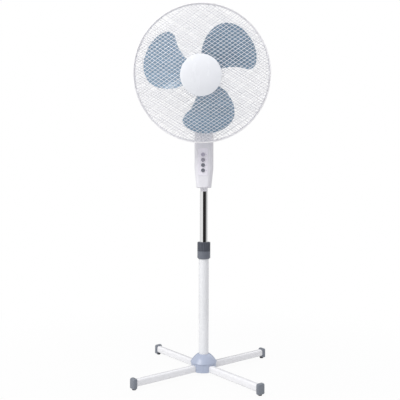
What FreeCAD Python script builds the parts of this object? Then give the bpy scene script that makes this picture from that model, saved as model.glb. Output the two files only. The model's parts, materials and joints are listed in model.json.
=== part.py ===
import FreeCAD, Part
import math
import os
from FreeCAD import Placement, Rotation, Vector

# Pedestal fan of the 40 cm class. Millimetres, +Z up, origin on the floor at the pole's axis.
# The control housing and its buttons face -Y. The head is built level and facing -Y, with its
# origin at the tilt pivot, and is then turned on its swivel pin and nodded down about the pivot.

# ---------------------------------------------------------------- fits and clearances
slide_fit = 0.05  # radial, between parts that run on each other
seat_gap = 0.1  # radial, between a part and the recess that it is pushed into
face_gap = 0.3  # between faces of parts that move past each other
tolerance = 1e-6  # lengths smaller than this count as nothing
quarter_turns = (0, 90, 180, 270)
hexagon_sides = 6

# ---------------------------------------------------------------- base
leg_angle = 45.0  # each leg lies midway between the front and a side
leg_reach = 268.0  # pole axis to the middle of an end cap
rail_width = 19.0
rail_height = 22.0
rail_corner = 6.0
rail_wall = 1.5
rail_bottom = 9.0
lap_gap = 0.3
cap_length = 15.5
cap_width = 26.0
cap_corner = 6.5
cap_height = 31.0
cap_bottom = 4.0
cap_round = 3.0
cap_crown = 5.5
pad_inset = 2.0  # each foot pad stands this far inside its cap's middle
pad_radius = 6.4
pad_peg_radius = 3.0
pad_peg_height = 3.0
pad_bevel = 1.0
hub_radius = 43.0
hub_skirt_radius = 41.5
hub_bottom = 10.0
hub_eave = 36.0  # underside of the roof's rim, over the legs
hub_rim = 1.8  # height of the roof's rim
hub_top = 63.0
hub_neck = 2.5  # width of the level ring round the pole at the top
hub_bulge = 2.0  # how far the roof bows out of a straight cone
hub_wall = 2.2
hub_slot_gap = 0.6
socket_flange_radius = 34.0
socket_flange_thickness = 5.0
socket_spigot_height = 40.0
spigot_bevel = 2.0
flange_screw_circle = 26.0
flange_screw_radius = 2.0
flange_screw_head = 3.6
flange_screw_head_height = 2.4
flange_screw_grip = 9.0
base_bolt_radius = 4.0
base_bolt_head = 8.0
base_bolt_head_height = 4.5
base_bolt_end = 4.0  # from the bolt's tip up to the top of the socket
base_plate_side = 44.0
base_plate_corner_radius = 27.28
base_plate_thickness = 2.0

# ---------------------------------------------------------------- pole
lower_tube_radius = 16.5
lower_tube_wall = 1.5
lower_tube_top = 392.0
upper_tube_radius = 13.0
upper_tube_wall = 1.2
upper_tube_bottom = 272.0
upper_tube_top = 598.0
guide_bush_length = 32.0
guide_bush_flange = 2.0
end_plug_length = 26.0
end_plug_flange = 8.0
end_plug_bevel = 2.0
collar_radius = 21.5
collar_bottom = 374.0
collar_split = 400.0
collar_top = 430.0
collar_chamfer = 4.0
collar_neck_radius = 18.9
collar_neck_top = 421.0
collet_wall = 3.6
collet_slit = 3.0
collet_taper = 3.0  # height of the cone at the collet's top
collet_taper_depth = 1.5
collet_root = 4.0  # uncut length below the slit
nut_lip = 4.0  # thickness of the lock nut's top ring
nut_flute_count = 24
nut_flute_depth = 0.9
nut_flute_radius = 2.9
nut_edge = 1.5
nut_clear = 1.0  # between the lock nut and the chrome tube

# ---------------------------------------------------------------- control housing
housing_width = 59.3
housing_depth = 58.0
housing_foot_width = 47.4
housing_foot_depth = 46.0
housing_bottom = 610.0
housing_shoulder = 676.0  # below this height the housing tapers
housing_top = 842.0
housing_corner = 14.0
housing_wall = 2.2
housing_edge_round = 3.0
housing_seam = 6.0  # Y of the plane where front and rear shells meet
housing_boss_radius = 4.0
housing_boss_sink = 0.2  # how far a boss runs into its shell's wall
housing_boss_spacing = 40.0
housing_boss_heights = (660.0, 812.0)
housing_screw_radius = 1.4
housing_screw_head = 2.9
housing_screw_head_height = 2.2
housing_screw_length = 22.0
housing_screw_reach = 4.0  # from a screw's tip to the bottom of its hole
housing_sleeve = 8.0  # from the seam to the seats of the screws' heads
pillar_side = 18.0
pillar_shoulder_radius = 12.2
pillar_spigot_length = 50.0
pillar_spigot_bevel = 1.5
panel_width = 32.0
panel_bottom = 650.0
panel_top = 740.0
panel_thickness = 1.6
panel_corner = 6.0
button_radius = 6.0
button_pitch = 17.3
button_low = 667.1
button_count = 4
button_stand = 3.6  # how far a button stands out of the panel
button_collar_radius = 7.4
button_collar_length = 2.0
button_travel = 3.5
button_bevel = 0.8
switch_width = 26.0
switch_depth = 11.0
switch_end = 4.325  # the switch's length beyond half a pitch from its end buttons
plunger_seat_radius = 2.2
plunger_seat_depth = 4.0

# ---------------------------------------------------------------- tilt hinge and swivel
pivot_height = 886.0
head_nod = 14.0  # degrees nose down at rest
head_turn = 4.0  # degrees to the fan's own left at rest
hinge_radius = 12.0
ear_thickness = 7.6
tongue_width = 18.2
fork_base_height = 24.0
tilt_bolt_radius = 4.0
tilt_bolt_head = 7.5
tilt_bolt_head_height = 4.5
neck_plate_radius = 20.0
neck_plate_bottom = 18.0
neck_plate_top = 34.5
neck_plate_bevel = 3.0
neck_lug_rise = 5.0  # the link's lug starts this far over the plate's underside
swivel_pin_radius = 5.0
swivel_pin_top = 58.0
swivel_pin_depth = 12.0
washer_thickness = 1.0
boss_radius = 13.0
boss_clear = 1.5  # round the boss, in the rear cover's mouth

# ---------------------------------------------------------------- motor, along the fan's axis
# Stations along the axis are distances ahead of the swivel pin.
axis_height = 105.0  # fan axis above the tilt pivot
shaft_radius = 4.0
shaft_front = 146.0
shaft_rear = -64.0
stator_radius = 42.0
stator_bore = 22.2
stator_front = 22.0
stator_rear = -14.0
air_gap = 0.7
winding_inner = 26.0
winding_outer = 38.0
winding_length = 12.0
winding_bevel = 4.0
winding_inner_bevel = 3.0
bearing_radius = 8.0
bearing_length = 8.0
bracket_front = 44.0
bracket_rear = -34.0
bracket_plate = 4.0
bracket_rim = 2.0
bracket_lap = 8.0  # how far each bracket's rim runs over the laminations
bearing_cup_wall = 3.0
nose_radius = 15.0
nose_front = 66.0
cover_radius = 57.0
cover_wall = 2.0
cover_split = 16.0  # station where the two covers meet, ahead of the swivel boss
cover_rear = -80.0
cover_round = 22.0
cover_bevel = 4.0
cover_face_bevel = 5.0
vent_count = 10
vent_width = 4.0
vent_length = 24.0
vent_circle = 26.0
vent_floor = -25.0  # station that the slots are cut forward to

# ---------------------------------------------------------------- oscillation gear
worm_radius = 4.5
worm_station = -55.0
worm_length = 16.0
wheel_radius = 12.6
wheel_teeth = 20
wheel_tooth_depth = 1.6
wheel_gap_root_share = 0.24  # a tooth gap's width at its root, as a share of the pitch
wheel_gap_tip_share = 0.6
wheel_height = 8.0
spindle_radius = 2.5
spindle_clear = 1.0  # round the spindle and the knob's stem, in the rear cover
spindle_side = 17.5  # X of the wheel's axis, beside the worm
tray_wall = 2.5
tray_front = -39.0
tray_rear = -71.5
tray_side = -10.0
tray_far_side = 33.0
tray_floor = -16.0  # heights relative to the fan's axis
tray_rim = 8.0
bridge_side = -8.0  # the web that joins the tray to the cup
bridge_far_side = 20.0
bridge_top = -12.0
lid_thickness = 2.5
arm_width = 24.0
arm_thickness = 7.0
arm_sink = 1.5  # how far the arm runs into the cup
post_sink = 6.0
crank_width = 9.0
crank_throw = 16.06  # half the change in the spindle's distance from the link pin over the swing
crank_angle = -8.5  # direction of the crank pin at rest, about the spindle
crank_top = -60.5
crank_thickness = 3.5
crank_pin_radius = 2.0
crank_pin_length = 3.2
link_pin_side = 25.0  # X of the pin on the neck that the link turns on
link_pin_radius = 2.5
link_pin_depth = 6.0
link_pin_head = 4.0
link_pin_head_height = 1.2
link_width = 8.0
link_thickness = 2.0
knob_radius = 8.0
knob_height = 12.0
knob_edge = 2.0
knob_base_edge = 1.5
knob_skin_share = 0.4  # where under the knob its stand is measured from, down the cover's side
knob_stand = 8.0  # how far the raised knob stands off the cover

# ---------------------------------------------------------------- blades
blade_count = 3
blade_tip_gap = 29.0  # from the blades' tips to the outside of the guards' ring
# the blade's edges as (share of the tip's radius, degrees from the blade's middle); the fan
# turns clockwise seen from the front, so the hollow edge leads and is the one further back
blade_leading = (
    (0.24, -18.5),
    (0.4, -21),
    (0.51, -22.6),
    (0.62, -25.2),
    (0.73, -29.1),
    (0.8, -30.6),
    (0.86, -29.6),
    (0.91, -26.8),
    (0.95, -21),
    (0.98, -13.8),
    (1.0, -5),
)
blade_trailing = (
    (1.0, 10),
    (0.98, 18),
    (0.95, 24.2),
    (0.89, 31.3),
    (0.78, 38.4),
    (0.67, 43.6),
    (0.565, 47.6),
    (0.46, 50.8),
    (0.24, 55),
)
blade_thickness = 2.2
blade_pitch_length = 205.0  # advance of the blade's helix in one turn
blade_camber = 7.0
blade_slab_half = 125.0  # half width of the twisted slab that a blade's outline is cut from
blade_section_radii = (32.0, 60.0, 95.0, 140.0, 195.0)
blade_station = 106.0
blade_angle = 35.0  # direction of the first blade's middle, seen from the front
blade_hub_radius = 47.0
blade_hub_front = 128.0
blade_hub_rear = 88.0
blade_hub_wall = 2.5
blade_hub_edge = 6.0
blade_boss_rise = 4.0  # the boss and the ribs start this far ahead of the hub's rim
blade_rib_rise = 12.0
blade_boss_radius = 11.0
spinner_radius = 19.0
spinner_length = 16.0
spinner_bevel = 6.0
spinner_bevel_length = 7.0
spinner_crown = 2.0
spinner_grooves = 10
spinner_groove_radius = 3.0
spinner_groove_out = 1.5  # from the spinner's side out to the middle of a groove

# ---------------------------------------------------------------- guards
rim_station = 112.0
ring_radius = 215.0
ring_width = 14.0
ring_wall = 1.6
ring_lip = 2.2
ring_round = 3.0
hoop_thickness = 4.2
hoop_width = 5.0
hoop_sides = 48
front_dome_depth = 58.0
rear_bowl_depth = 60.0
rear_bowl_inset = 1.6  # bowl's edge inside the middle of its hoop, to pass the ring's lip
mesh_angle = 33.2  # each family of wires runs this far from level
mesh_pitch = 9.6
rear_mesh_pitch = 14.4
mesh_wire = 1.4
mesh_layer_gap = 1.1  # clear space between the two crossed layers of wires
mesh_margin = 12.0  # the outermost wires stay this far inside the hoop's middle
mesh_segment = 62.0  # longest straight run in a wire
rear_plate_radius = 60.0
rear_plate_dish = 4.0
rear_plate_lap = 5.0  # how far the wires run in over the plate
guard_nut_radius = 34.0
guard_nut_thickness = 8.0
guard_nut_lugs = 6
guard_nut_lug = 6.0  # height and width of a lug
guard_nut_lug_sink = 2.0
guard_nut_lug_drop = 2.0  # the lugs are this much thinner than the ring
badge_radius = 63.2
badge_edge = 3.0
badge_bevel = 1.5
badge_crown = 2.0


# ================================================================ helpers
def outline(start, *steps):
    """A closed wire through points. A step is a point, or (middle, end) for an arc."""
    edges = []
    here = start
    for step in steps:
        if isinstance(step, tuple):
            middle, end = step
            edges.append(Part.Arc(here, middle, end).toShape())
        else:
            end = step
            edges.append(Part.LineSegment(here, end).toShape())
        here = end
    if here.distanceToPoint(start) > tolerance:
        edges.append(Part.LineSegment(here, start).toShape())
    return Part.Wire(edges)


def lathe(*points):
    """A solid of revolution about Z from (radius, height) corners."""
    corners = [Vector(r, 0, z) for r, z in points]
    face = Part.Face(outline(corners[0], *corners[1:]))
    return face.revolve(Vector(0, 0, 0), Vector(0, 0, 1), 360)


def axial(*points):
    """A solid of revolution about the fan's axis from (radius, station) corners."""
    return along_fan(lathe(*points))


def along_fan(shape):
    """Lays a shape made along Z on the fan's axis, Z becoming the way forward."""
    turned = shape.copy()
    turned.Placement = Placement(
        Vector(0, 0, axis_height), Rotation(Vector(1, 0, 0), 90)
    ).multiply(shape.Placement)
    return turned


def rod(radius, start, end):
    """A solid cylinder from one point to another."""
    run = end - start
    return Part.makeCylinder(radius, run.Length, start, run)


def block(x0, x1, y0, y1, z0, z1):
    """A box between two corners."""
    return Part.makeBox(x1 - x0, y1 - y0, z1 - z0, Vector(x0, y0, z0))


def rounded_rectangle(width, depth, corner, height):
    """A wire with rounded corners, centred on Z at a height."""
    x = width / 2
    y = depth / 2
    c = corner
    k = corner * (1 - math.sqrt(0.5))
    points = [
        Vector(x - c, -y, height),
        (Vector(x - k, -y + k, height), Vector(x, -y + c, height)),
        Vector(x, y - c, height),
        (Vector(x - k, y - k, height), Vector(x - c, y, height)),
        Vector(-x + c, y, height),
        (Vector(-x + k, y - k, height), Vector(-x, y - c, height)),
        Vector(-x, -y + c, height),
        (Vector(-x + k, -y + k, height), Vector(-x + c, -y, height)),
    ]
    return outline(points[0], *points[1:])


def turned(shape, angle, centre=Vector(0, 0, 0), axis=Vector(0, 0, 1)):
    """A copy turned about an axis through a centre."""
    copy = shape.copy()
    copy.rotate(centre, axis, angle)
    return copy


def moved(shape, x=0, y=0, z=0):
    """A copy moved without turning."""
    copy = shape.copy()
    copy.translate(Vector(x, y, z))
    return copy


def around(shape, count, centre=Vector(0, 0, 0), axis=Vector(0, 0, 1)):
    """Evenly spaced copies about an axis."""
    return [turned(shape, 360.0 * i / count, centre, axis) for i in range(count)]


def turned_point(radius, angle, height):
    """A point at a radius and an angle about Z."""
    a = math.radians(angle)
    return Vector(radius * math.cos(a), radius * math.sin(a), height)


def hexagon(radius, start, height, direction):
    """A hexagonal prism, its corners at a radius, from a point along a direction."""
    corners = [turned_point(radius, 360.0 * i / hexagon_sides, 0) for i in range(hexagon_sides)]
    prism = Part.Face(outline(corners[0], *corners[1:])).extrude(Vector(0, 0, height))
    prism.Placement = Placement(start, Rotation(Vector(0, 0, 1), direction))
    return prism


def on_neck(shape):
    """From the level head's frame to where the neck stands at rest."""
    placed = shape.copy()
    placed.Placement = Placement(
        Vector(0, 0, pivot_height), Rotation(Vector(1, 0, 0), head_nod)
    ).multiply(shape.Placement)
    return placed


def on_head(shape):
    """From the level head's frame to where the head stands at rest."""
    return on_neck(turned(shape, head_turn))


# ================================================================ base
rail_top = rail_bottom + rail_height
rail_middle = rail_bottom + rail_height / 2
flange_top = rail_top + socket_flange_thickness


def rail_outer(grow=0.0):
    """A full-length rounded bar along X, grown all round."""
    length = 2 * leg_reach
    section = rounded_rectangle(
        rail_height + 2 * grow, rail_width + 2 * grow, rail_corner + grow, 0
    )
    bar = Part.Face(section).extrude(Vector(0, 0, length))
    bar.rotate(Vector(0, 0, 0), Vector(0, 1, 0), 90)
    bar.translate(Vector(-length / 2, 0, rail_middle))
    return bar


def rail(angle, notch_low, notch_high):
    """One leg tube right across the base, half lapped where it crosses the other."""
    tube = rail_outer().cut(rail_outer(-rail_wall))
    half = (rail_width + lap_gap) / 2
    tube = tube.cut(block(-half, half, -rail_width, rail_width, notch_low, notch_high))
    tube = tube.cut(rod(base_bolt_radius + face_gap, Vector(0, 0, 0), Vector(0, 0, rail_top)))
    for side in (-1, 1):
        spot = Vector(side * flange_screw_circle, 0, rail_middle)
        tube = tube.cut(rod(flange_screw_radius + seat_gap, spot, spot + Vector(0, 0, rail_height)))
    return turned(tube, angle)


def leg_caps():
    """Rounded end plugs, taller than the rails, each with a socket for its rail."""
    block_face = Part.Face(rounded_rectangle(cap_length, cap_width, cap_corner, cap_bottom))
    solid = moved(block_face.extrude(Vector(0, 0, cap_height)), x=leg_reach)
    for height, radius in ((cap_bottom, cap_round), (cap_bottom + cap_height, cap_crown)):
        rim = [
            e
            for e in solid.Edges
            if e.BoundBox.ZLength < tolerance and abs(e.BoundBox.ZMin - height) < tolerance
        ]
        solid = solid.makeFillet(radius, rim)
    solid = solid.cut(rail_outer(seat_gap))
    peg = Vector(leg_reach - pad_inset, 0, 0)
    hole = rod(pad_peg_radius + seat_gap, peg, peg + Vector(0, 0, cap_bottom + pad_peg_height))
    solid = solid.cut(hole)
    return Part.makeCompound([turned(solid, leg_angle + quarter) for quarter in quarter_turns])


def foot_pads():
    """Rubber pads pegged into the undersides of the caps."""
    pad = lathe(
        (0, 0),
        (pad_radius - pad_bevel, 0),
        (pad_radius, pad_bevel),
        (pad_radius, cap_bottom),
        (pad_peg_radius, cap_bottom),
        (pad_peg_radius, cap_bottom + pad_peg_height),
        (0, cap_bottom + pad_peg_height),
    )
    pad = moved(pad, x=leg_reach - pad_inset)
    return Part.makeCompound([turned(pad, leg_angle + quarter) for quarter in quarter_turns])


def hub_profile(inset):
    """Half section of the hub cover: skirt, overhanging rim, bowed roof, ring round the pole."""
    skirt = hub_skirt_radius - inset
    rim = Vector(hub_radius - inset, 0, hub_eave + hub_rim)
    brow = Vector(lower_tube_radius + hub_neck, 0, hub_top - inset)
    slope = brow - rim
    outward = Vector(slope.z, 0, -slope.x).normalize()
    return [
        Vector(0, 0, hub_bottom),
        Vector(skirt, 0, hub_bottom),
        Vector(skirt, 0, hub_eave + inset),
        Vector(rim.x, 0, hub_eave + inset),
        rim,
        (rim + slope * 0.5 + outward * hub_bulge, brow),
        Vector(0, 0, brow.z),
    ]


def hub_cover():
    """A domed cap over the crossing, its skirt cut away round each leg."""
    outer = Part.Face(outline(*hub_profile(0))).revolve(Vector(0, 0, 0), Vector(0, 0, 1), 360)
    inner = Part.Face(outline(*hub_profile(hub_wall))).revolve(
        Vector(0, 0, 0), Vector(0, 0, 1), 360
    )
    cover = outer.cut(inner)
    cover = cover.cut(Part.makeCylinder(lower_tube_radius + face_gap, hub_top + 1))
    half = rail_width / 2 + hub_slot_gap
    far = 2 * hub_radius
    doorway = rail_outer(hub_slot_gap).fuse(block(-far, far, -half, half, 0, rail_middle))
    for angle in (leg_angle, leg_angle + 90):
        cover = cover.cut(turned(doorway, angle))
    return cover


def pole_socket():
    """A flanged spigot, screwed to the rails, that the lower tube stands over."""
    bore = lower_tube_radius - lower_tube_wall
    spigot = bore - seat_gap
    body = lathe(
        (0, rail_top),
        (socket_flange_radius, rail_top),
        (socket_flange_radius, flange_top),
        (spigot, flange_top),
        (spigot, flange_top + socket_spigot_height - spigot_bevel),
        (spigot - spigot_bevel, flange_top + socket_spigot_height),
        (0, flange_top + socket_spigot_height),
    )
    body = body.cut(rod(base_bolt_radius + slide_fit, Vector(0, 0, 0), Vector(0, 0, 2 * hub_top)))
    for quarter in quarter_turns:
        spot = turned_point(flange_screw_circle, leg_angle + quarter, rail_top)
        body = body.cut(rod(flange_screw_radius + seat_gap, spot, spot + Vector(0, 0, rail_height)))
    return body


def flange_screws():
    """Pan-head screws through the flange into the tops of the rails."""
    screws = []
    for quarter in quarter_turns:
        spot = turned_point(flange_screw_circle, leg_angle + quarter, flange_top)
        head = rod(flange_screw_head, spot, spot + Vector(0, 0, flange_screw_head_height))
        shank = rod(flange_screw_radius, spot - Vector(0, 0, flange_screw_grip), spot)
        screws.append(head.fuse(shank).removeSplitter())
    return Part.makeCompound(screws)


def base_plate():
    """A square washer plate under the crossing."""
    side = base_plate_side / 2
    plate = block(-side, side, -side, side, rail_bottom - base_plate_thickness, rail_bottom)
    plate = plate.common(Part.makeCylinder(base_plate_corner_radius, rail_top))
    plate = plate.cut(rod(base_bolt_radius + seat_gap, Vector(0, 0, 0), Vector(0, 0, rail_top)))
    return turned(plate, leg_angle)


def base_bolt():
    """The bolt that draws the pole socket and the crossed rails together."""
    head_top = rail_bottom - base_plate_thickness
    foot = Vector(0, 0, head_top - base_bolt_head_height)
    head = hexagon(base_bolt_head, foot, base_bolt_head_height, Vector(0, 0, 1))
    tip = flange_top + socket_spigot_height - base_bolt_end
    return head.fuse(rod(base_bolt_radius, Vector(0, 0, head_top), Vector(0, 0, tip))).removeSplitter()


# ================================================================ pole
def lower_pole():
    """The fixed white tube that stands on the pole socket."""
    r = lower_tube_radius
    wall = r - lower_tube_wall
    return lathe((wall, flange_top), (r, flange_top), (r, lower_tube_top), (wall, lower_tube_top))


def pole_guide_bush():
    """A flanged bush in the mouth of the lower tube that the chrome tube runs in."""
    run = upper_tube_radius + slide_fit
    body = lower_tube_radius - lower_tube_wall - seat_gap
    return lathe(
        (run, lower_tube_top - guide_bush_length),
        (body, lower_tube_top - guide_bush_length),
        (body, lower_tube_top),
        (lower_tube_radius, lower_tube_top),
        (lower_tube_radius, lower_tube_top + guide_bush_flange),
        (run, lower_tube_top + guide_bush_flange),
    )


collet_outer = upper_tube_radius + slide_fit + collet_wall


def height_collar():
    """The lower half of the height lock, fixed on the lower tube, with the neck the nut turns on."""
    tube = lower_tube_radius + seat_gap
    shelf = lower_tube_top + guide_bush_flange
    return lathe(
        (tube, collar_bottom),
        (collar_radius - collar_chamfer, collar_bottom),
        (collar_radius, collar_bottom + collar_chamfer),
        (collar_radius, collar_split),
        (collar_neck_radius, collar_split),
        (collar_neck_radius, collar_neck_top),
        (collet_outer + seat_gap, collar_neck_top),
        (collet_outer + seat_gap, shelf + seat_gap),
        (tube, shelf + seat_gap),
    )


def height_collet():
    """A split sleeve that the lock nut squeezes on the chrome tube."""
    bottom = lower_tube_top + guide_bush_flange + seat_gap
    top = collar_top - nut_lip - face_gap
    inner = upper_tube_radius + slide_fit
    sleeve = lathe(
        (inner, bottom),
        (collet_outer, bottom),
        (collet_outer, top - collet_taper),
        (collet_outer - collet_taper_depth, top),
        (inner, top),
    )
    half = collet_slit / 2
    return sleeve.cut(block(-half, half, 0, 2 * collet_outer, bottom + collet_root, top))


def height_lock_nut():
    """The fluted upper half of the height lock, turned by hand."""
    bore = collar_neck_radius + face_gap
    lip = collar_top - nut_lip
    nut = lathe(
        (bore, collar_split + face_gap),
        (collar_radius, collar_split + face_gap),
        (collar_radius, collar_top - nut_edge),
        (collar_radius - nut_edge, collar_top),
        (upper_tube_radius + nut_clear, collar_top),
        (upper_tube_radius + nut_clear, lip),
        (bore, lip),
    )
    reach = collar_radius + nut_flute_radius - nut_flute_depth
    flute = rod(
        nut_flute_radius, Vector(reach, 0, collar_split), Vector(reach, 0, collar_top + 1)
    )
    return nut.cut(Part.makeCompound(around(flute, nut_flute_count)))


def upper_pole():
    """The chromed tube that slides in the lower one."""
    r = upper_tube_radius
    wall = r - upper_tube_wall
    return lathe(
        (wall, upper_tube_bottom), (r, upper_tube_bottom), (r, upper_tube_top), (wall, upper_tube_top)
    )


def pole_end_plug():
    """A guide plug in the chrome tube's foot; its flange runs inside the lower tube."""
    flange = lower_tube_radius - lower_tube_wall - face_gap
    plug = upper_tube_radius - upper_tube_wall - seat_gap
    return lathe(
        (0, upper_tube_bottom - end_plug_flange),
        (flange, upper_tube_bottom - end_plug_flange),
        (flange, upper_tube_bottom),
        (plug, upper_tube_bottom),
        (plug, upper_tube_bottom + end_plug_length - end_plug_bevel),
        (plug - end_plug_bevel, upper_tube_bottom + end_plug_length),
        (0, upper_tube_bottom + end_plug_length),
    )


# ================================================================ control housing
ear_outer = tongue_width / 2 + face_gap + ear_thickness
switch_back = -pillar_side / 2 - face_gap
switch_front = switch_back - switch_depth


def housing_form(inset):
    """The housing's form, drawn in by an inset.

    The front is flat from top to foot, and below the shoulder the sides and back taper.
    """
    low = housing_bottom + inset
    top = housing_top - inset
    corner = housing_corner - inset
    foot = rounded_rectangle(
        housing_foot_width - 2 * inset, housing_foot_depth - 2 * inset, corner, low
    )
    foot.translate(Vector(0, (housing_foot_depth - housing_depth) / 2, 0))
    waist = rounded_rectangle(
        housing_width - 2 * inset, housing_depth - 2 * inset, corner, housing_shoulder
    )
    crown = rounded_rectangle(housing_width - 2 * inset, housing_depth - 2 * inset, corner, top)
    form = Part.makeLoft([foot, waist], True, True).fuse(Part.makeLoft([waist, crown], True, True))
    form = form.removeSplitter()
    if inset == 0:
        ends = [
            e
            for e in form.Edges
            if e.BoundBox.ZLength < tolerance and abs(e.BoundBox.ZMin - housing_shoulder) > 1
        ]
        form = form.makeFillet(housing_edge_round, ends)
    return form


def housing_shell():
    """Both halves of the housing as one hollow form with its openings cut."""
    shell = housing_form(0).cut(housing_form(housing_wall))
    shell = shell.cut(
        rod(
            pillar_shoulder_radius + seat_gap,
            Vector(0, 0, housing_bottom - 1),
            Vector(0, 0, housing_bottom + 2 * housing_wall),
        )
    )
    fork = ear_outer + face_gap
    deep = hinge_radius + face_gap
    return shell.cut(block(-fork, fork, -deep, deep, housing_top - 2 * housing_wall, housing_top + 1))


screw_seat = housing_seam + housing_sleeve
screw_tip = screw_seat - housing_screw_length


def boss_spots():
    """Where the four housing screws stand, as (x, z)."""
    half = housing_boss_spacing / 2
    return [(x, z) for z in housing_boss_heights for x in (-half, half)]


def panel_hole(radius, index, start, end):
    """A round hole through the front for one button."""
    z = button_low + index * button_pitch
    return rod(radius, Vector(0, start, z), Vector(0, end, z))


def housing_front():
    """The front shell, with screw bosses and a recess for the button panel."""
    wide = housing_width
    shell = housing_shell().common(
        block(-wide, wide, -wide, housing_seam, housing_bottom - 1, housing_top + 1)
    )
    inside = housing_form(housing_wall - housing_boss_sink)
    for x, z in boss_spots():
        boss = rod(housing_boss_radius, Vector(x, -wide, z), Vector(x, housing_seam, z))
        shell = shell.fuse(boss.common(inside))
    for x, z in boss_spots():
        deep = Vector(x, screw_tip - housing_screw_reach, z)
        pilot = rod(housing_screw_radius + seat_gap, deep, Vector(x, housing_seam, z))
        shell = shell.cut(pilot)
    shell = shell.cut(panel_form(seat_gap, panel_thickness / 2))
    for index in range(button_count):
        shell = shell.cut(panel_hole(button_radius + face_gap, index, -wide, switch_front))
    return shell.removeSplitter()


def housing_rear():
    """The rear shell, with bosses that the screws pass through."""
    wide = housing_width
    shell = housing_shell().common(
        block(-wide, wide, housing_seam, wide, housing_bottom - 1, housing_top + 1)
    )
    inside = housing_form(housing_wall - housing_boss_sink)
    for x, z in boss_spots():
        boss = rod(housing_boss_radius + 1, Vector(x, housing_seam, z), Vector(x, wide, z))
        shell = shell.fuse(boss.common(inside))
    for x, z in boss_spots():
        hole = rod(housing_screw_radius + seat_gap, Vector(x, 0, z), Vector(x, wide, z))
        sink = rod(housing_screw_head + seat_gap, Vector(x, screw_seat, z), Vector(x, wide, z))
        shell = shell.cut(hole).cut(sink)
    return shell.removeSplitter()


def housing_screws():
    """Four screws that draw the shells together from behind."""
    screws = []
    for x, z in boss_spots():
        seat = Vector(x, screw_seat, z)
        shank = rod(housing_screw_radius, Vector(x, screw_tip, z), seat)
        head = rod(housing_screw_head, seat, seat + Vector(0, housing_screw_head_height, 0))
        screws.append(shank.fuse(head).removeSplitter())
    return Part.makeCompound(screws)


def panel_form(grow, sunk):
    """The button panel's plate, sunk by an amount in the housing's front face."""
    width = panel_width + 2 * grow
    height = panel_top - panel_bottom + 2 * grow
    middle = (panel_top + panel_bottom) / 2
    face = Part.Face(rounded_rectangle(width, height, panel_corner + grow, 0))
    plate = face.extrude(Vector(0, 0, panel_thickness))
    plate.Placement = Placement(
        Vector(0, -housing_depth / 2 + sunk, middle), Rotation(Vector(1, 0, 0), 90)
    )
    return plate


def button_panel():
    """The plate around the buttons, half sunk in the front shell."""
    panel = panel_form(0, panel_thickness / 2)
    for index in range(button_count):
        panel = panel.cut(panel_hole(button_radius + face_gap, index, -housing_depth, 0))
    return panel


panel_face = -housing_depth / 2 - panel_thickness / 2


def button(index):
    """A round push button with a collar behind the shell that keeps it in."""
    z = button_low + index * button_pitch
    shell_back = -housing_depth / 2 + housing_wall
    front = panel_face - button_stand
    collar = shell_back + face_gap
    stem = rod(button_radius, Vector(0, front, z), Vector(0, collar, z))
    stem = stem.makeChamfer(button_bevel, [stem.Edges[i] for i in edge_indices(stem, front)])
    flange = rod(
        button_collar_radius, Vector(0, collar, z), Vector(0, collar + button_collar_length, z)
    )
    return stem.fuse(flange).removeSplitter()


def edge_indices(shape, y):
    """Edges that lie wholly at one Y."""
    return [
        i
        for i, e in enumerate(shape.Edges)
        if abs(e.BoundBox.YMin - y) < tolerance and abs(e.BoundBox.YMax - y) < tolerance
    ]


def speed_switch():
    """The push-button switch block on the pillar, with a plunger seat behind each button."""
    low = button_low - button_pitch / 2 - switch_end
    high = button_low + button_pitch * (button_count - 0.5) + switch_end
    half = switch_width / 2
    body = block(-half, half, switch_front, switch_back, low, high)
    for index in range(button_count):
        z = button_low + index * button_pitch
        bottom = Vector(0, switch_front + plunger_seat_depth, z)
        body = body.cut(rod(plunger_seat_radius, Vector(0, switch_front - 1, z), bottom))
    return body


def support_pillar():
    """The spine inside the housing: spigot in the chrome tube below, hinge fork above."""
    spigot = upper_tube_radius - upper_tube_wall - seat_gap
    column_bottom = housing_bottom + housing_wall + seat_gap
    foot = lathe(
        (0, upper_tube_top - pillar_spigot_length),
        (spigot - pillar_spigot_bevel, upper_tube_top - pillar_spigot_length),
        (spigot, upper_tube_top - pillar_spigot_length + pillar_spigot_bevel),
        (spigot, upper_tube_top),
        (pillar_shoulder_radius, upper_tube_top),
        (pillar_shoulder_radius, column_bottom + 1),
        (0, column_bottom + 1),
    )
    half = pillar_side / 2
    fork_bottom = housing_top - fork_base_height / 2
    column = block(-half, half, -half, half, column_bottom, fork_bottom + 1)
    base = block(
        -ear_outer, ear_outer, -hinge_radius, hinge_radius, fork_bottom, fork_bottom + fork_base_height
    )
    pillar = foot.fuse([column, base])
    inner = tongue_width / 2 + face_gap
    for side in (-1, 1):
        x0, x1 = sorted((side * inner, side * ear_outer))
        ear = block(x0, x1, -hinge_radius, hinge_radius, fork_bottom + 1, pivot_height)
        eye = rod(hinge_radius, Vector(x0, 0, pivot_height), Vector(x1, 0, pivot_height))
        pillar = pillar.fuse([ear, eye])
    hole = rod(
        tilt_bolt_radius + slide_fit,
        Vector(-2 * ear_outer, 0, pivot_height),
        Vector(2 * ear_outer, 0, pivot_height),
    )
    return pillar.cut(hole).removeSplitter()


def tilt_bolt():
    """The hinge bolt across the fork."""
    head_end = ear_outer + tilt_bolt_head_height
    shank = rod(
        tilt_bolt_radius,
        Vector(-ear_outer - tilt_bolt_head_height - 2, 0, pivot_height),
        Vector(ear_outer, 0, pivot_height),
    )
    head = rod(tilt_bolt_head, Vector(ear_outer, 0, pivot_height), Vector(head_end, 0, pivot_height))
    return shank.fuse(head).removeSplitter()


def tilt_nut():
    """The hexagonal nut on the hinge bolt."""
    start = Vector(-ear_outer, 0, pivot_height)
    nut = hexagon(tilt_bolt_head, start, tilt_bolt_head_height, Vector(-1, 0, 0))
    end = start - Vector(tilt_bolt_head_height, 0, 0)
    return nut.cut(rod(tilt_bolt_radius + slide_fit, start, end))


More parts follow.
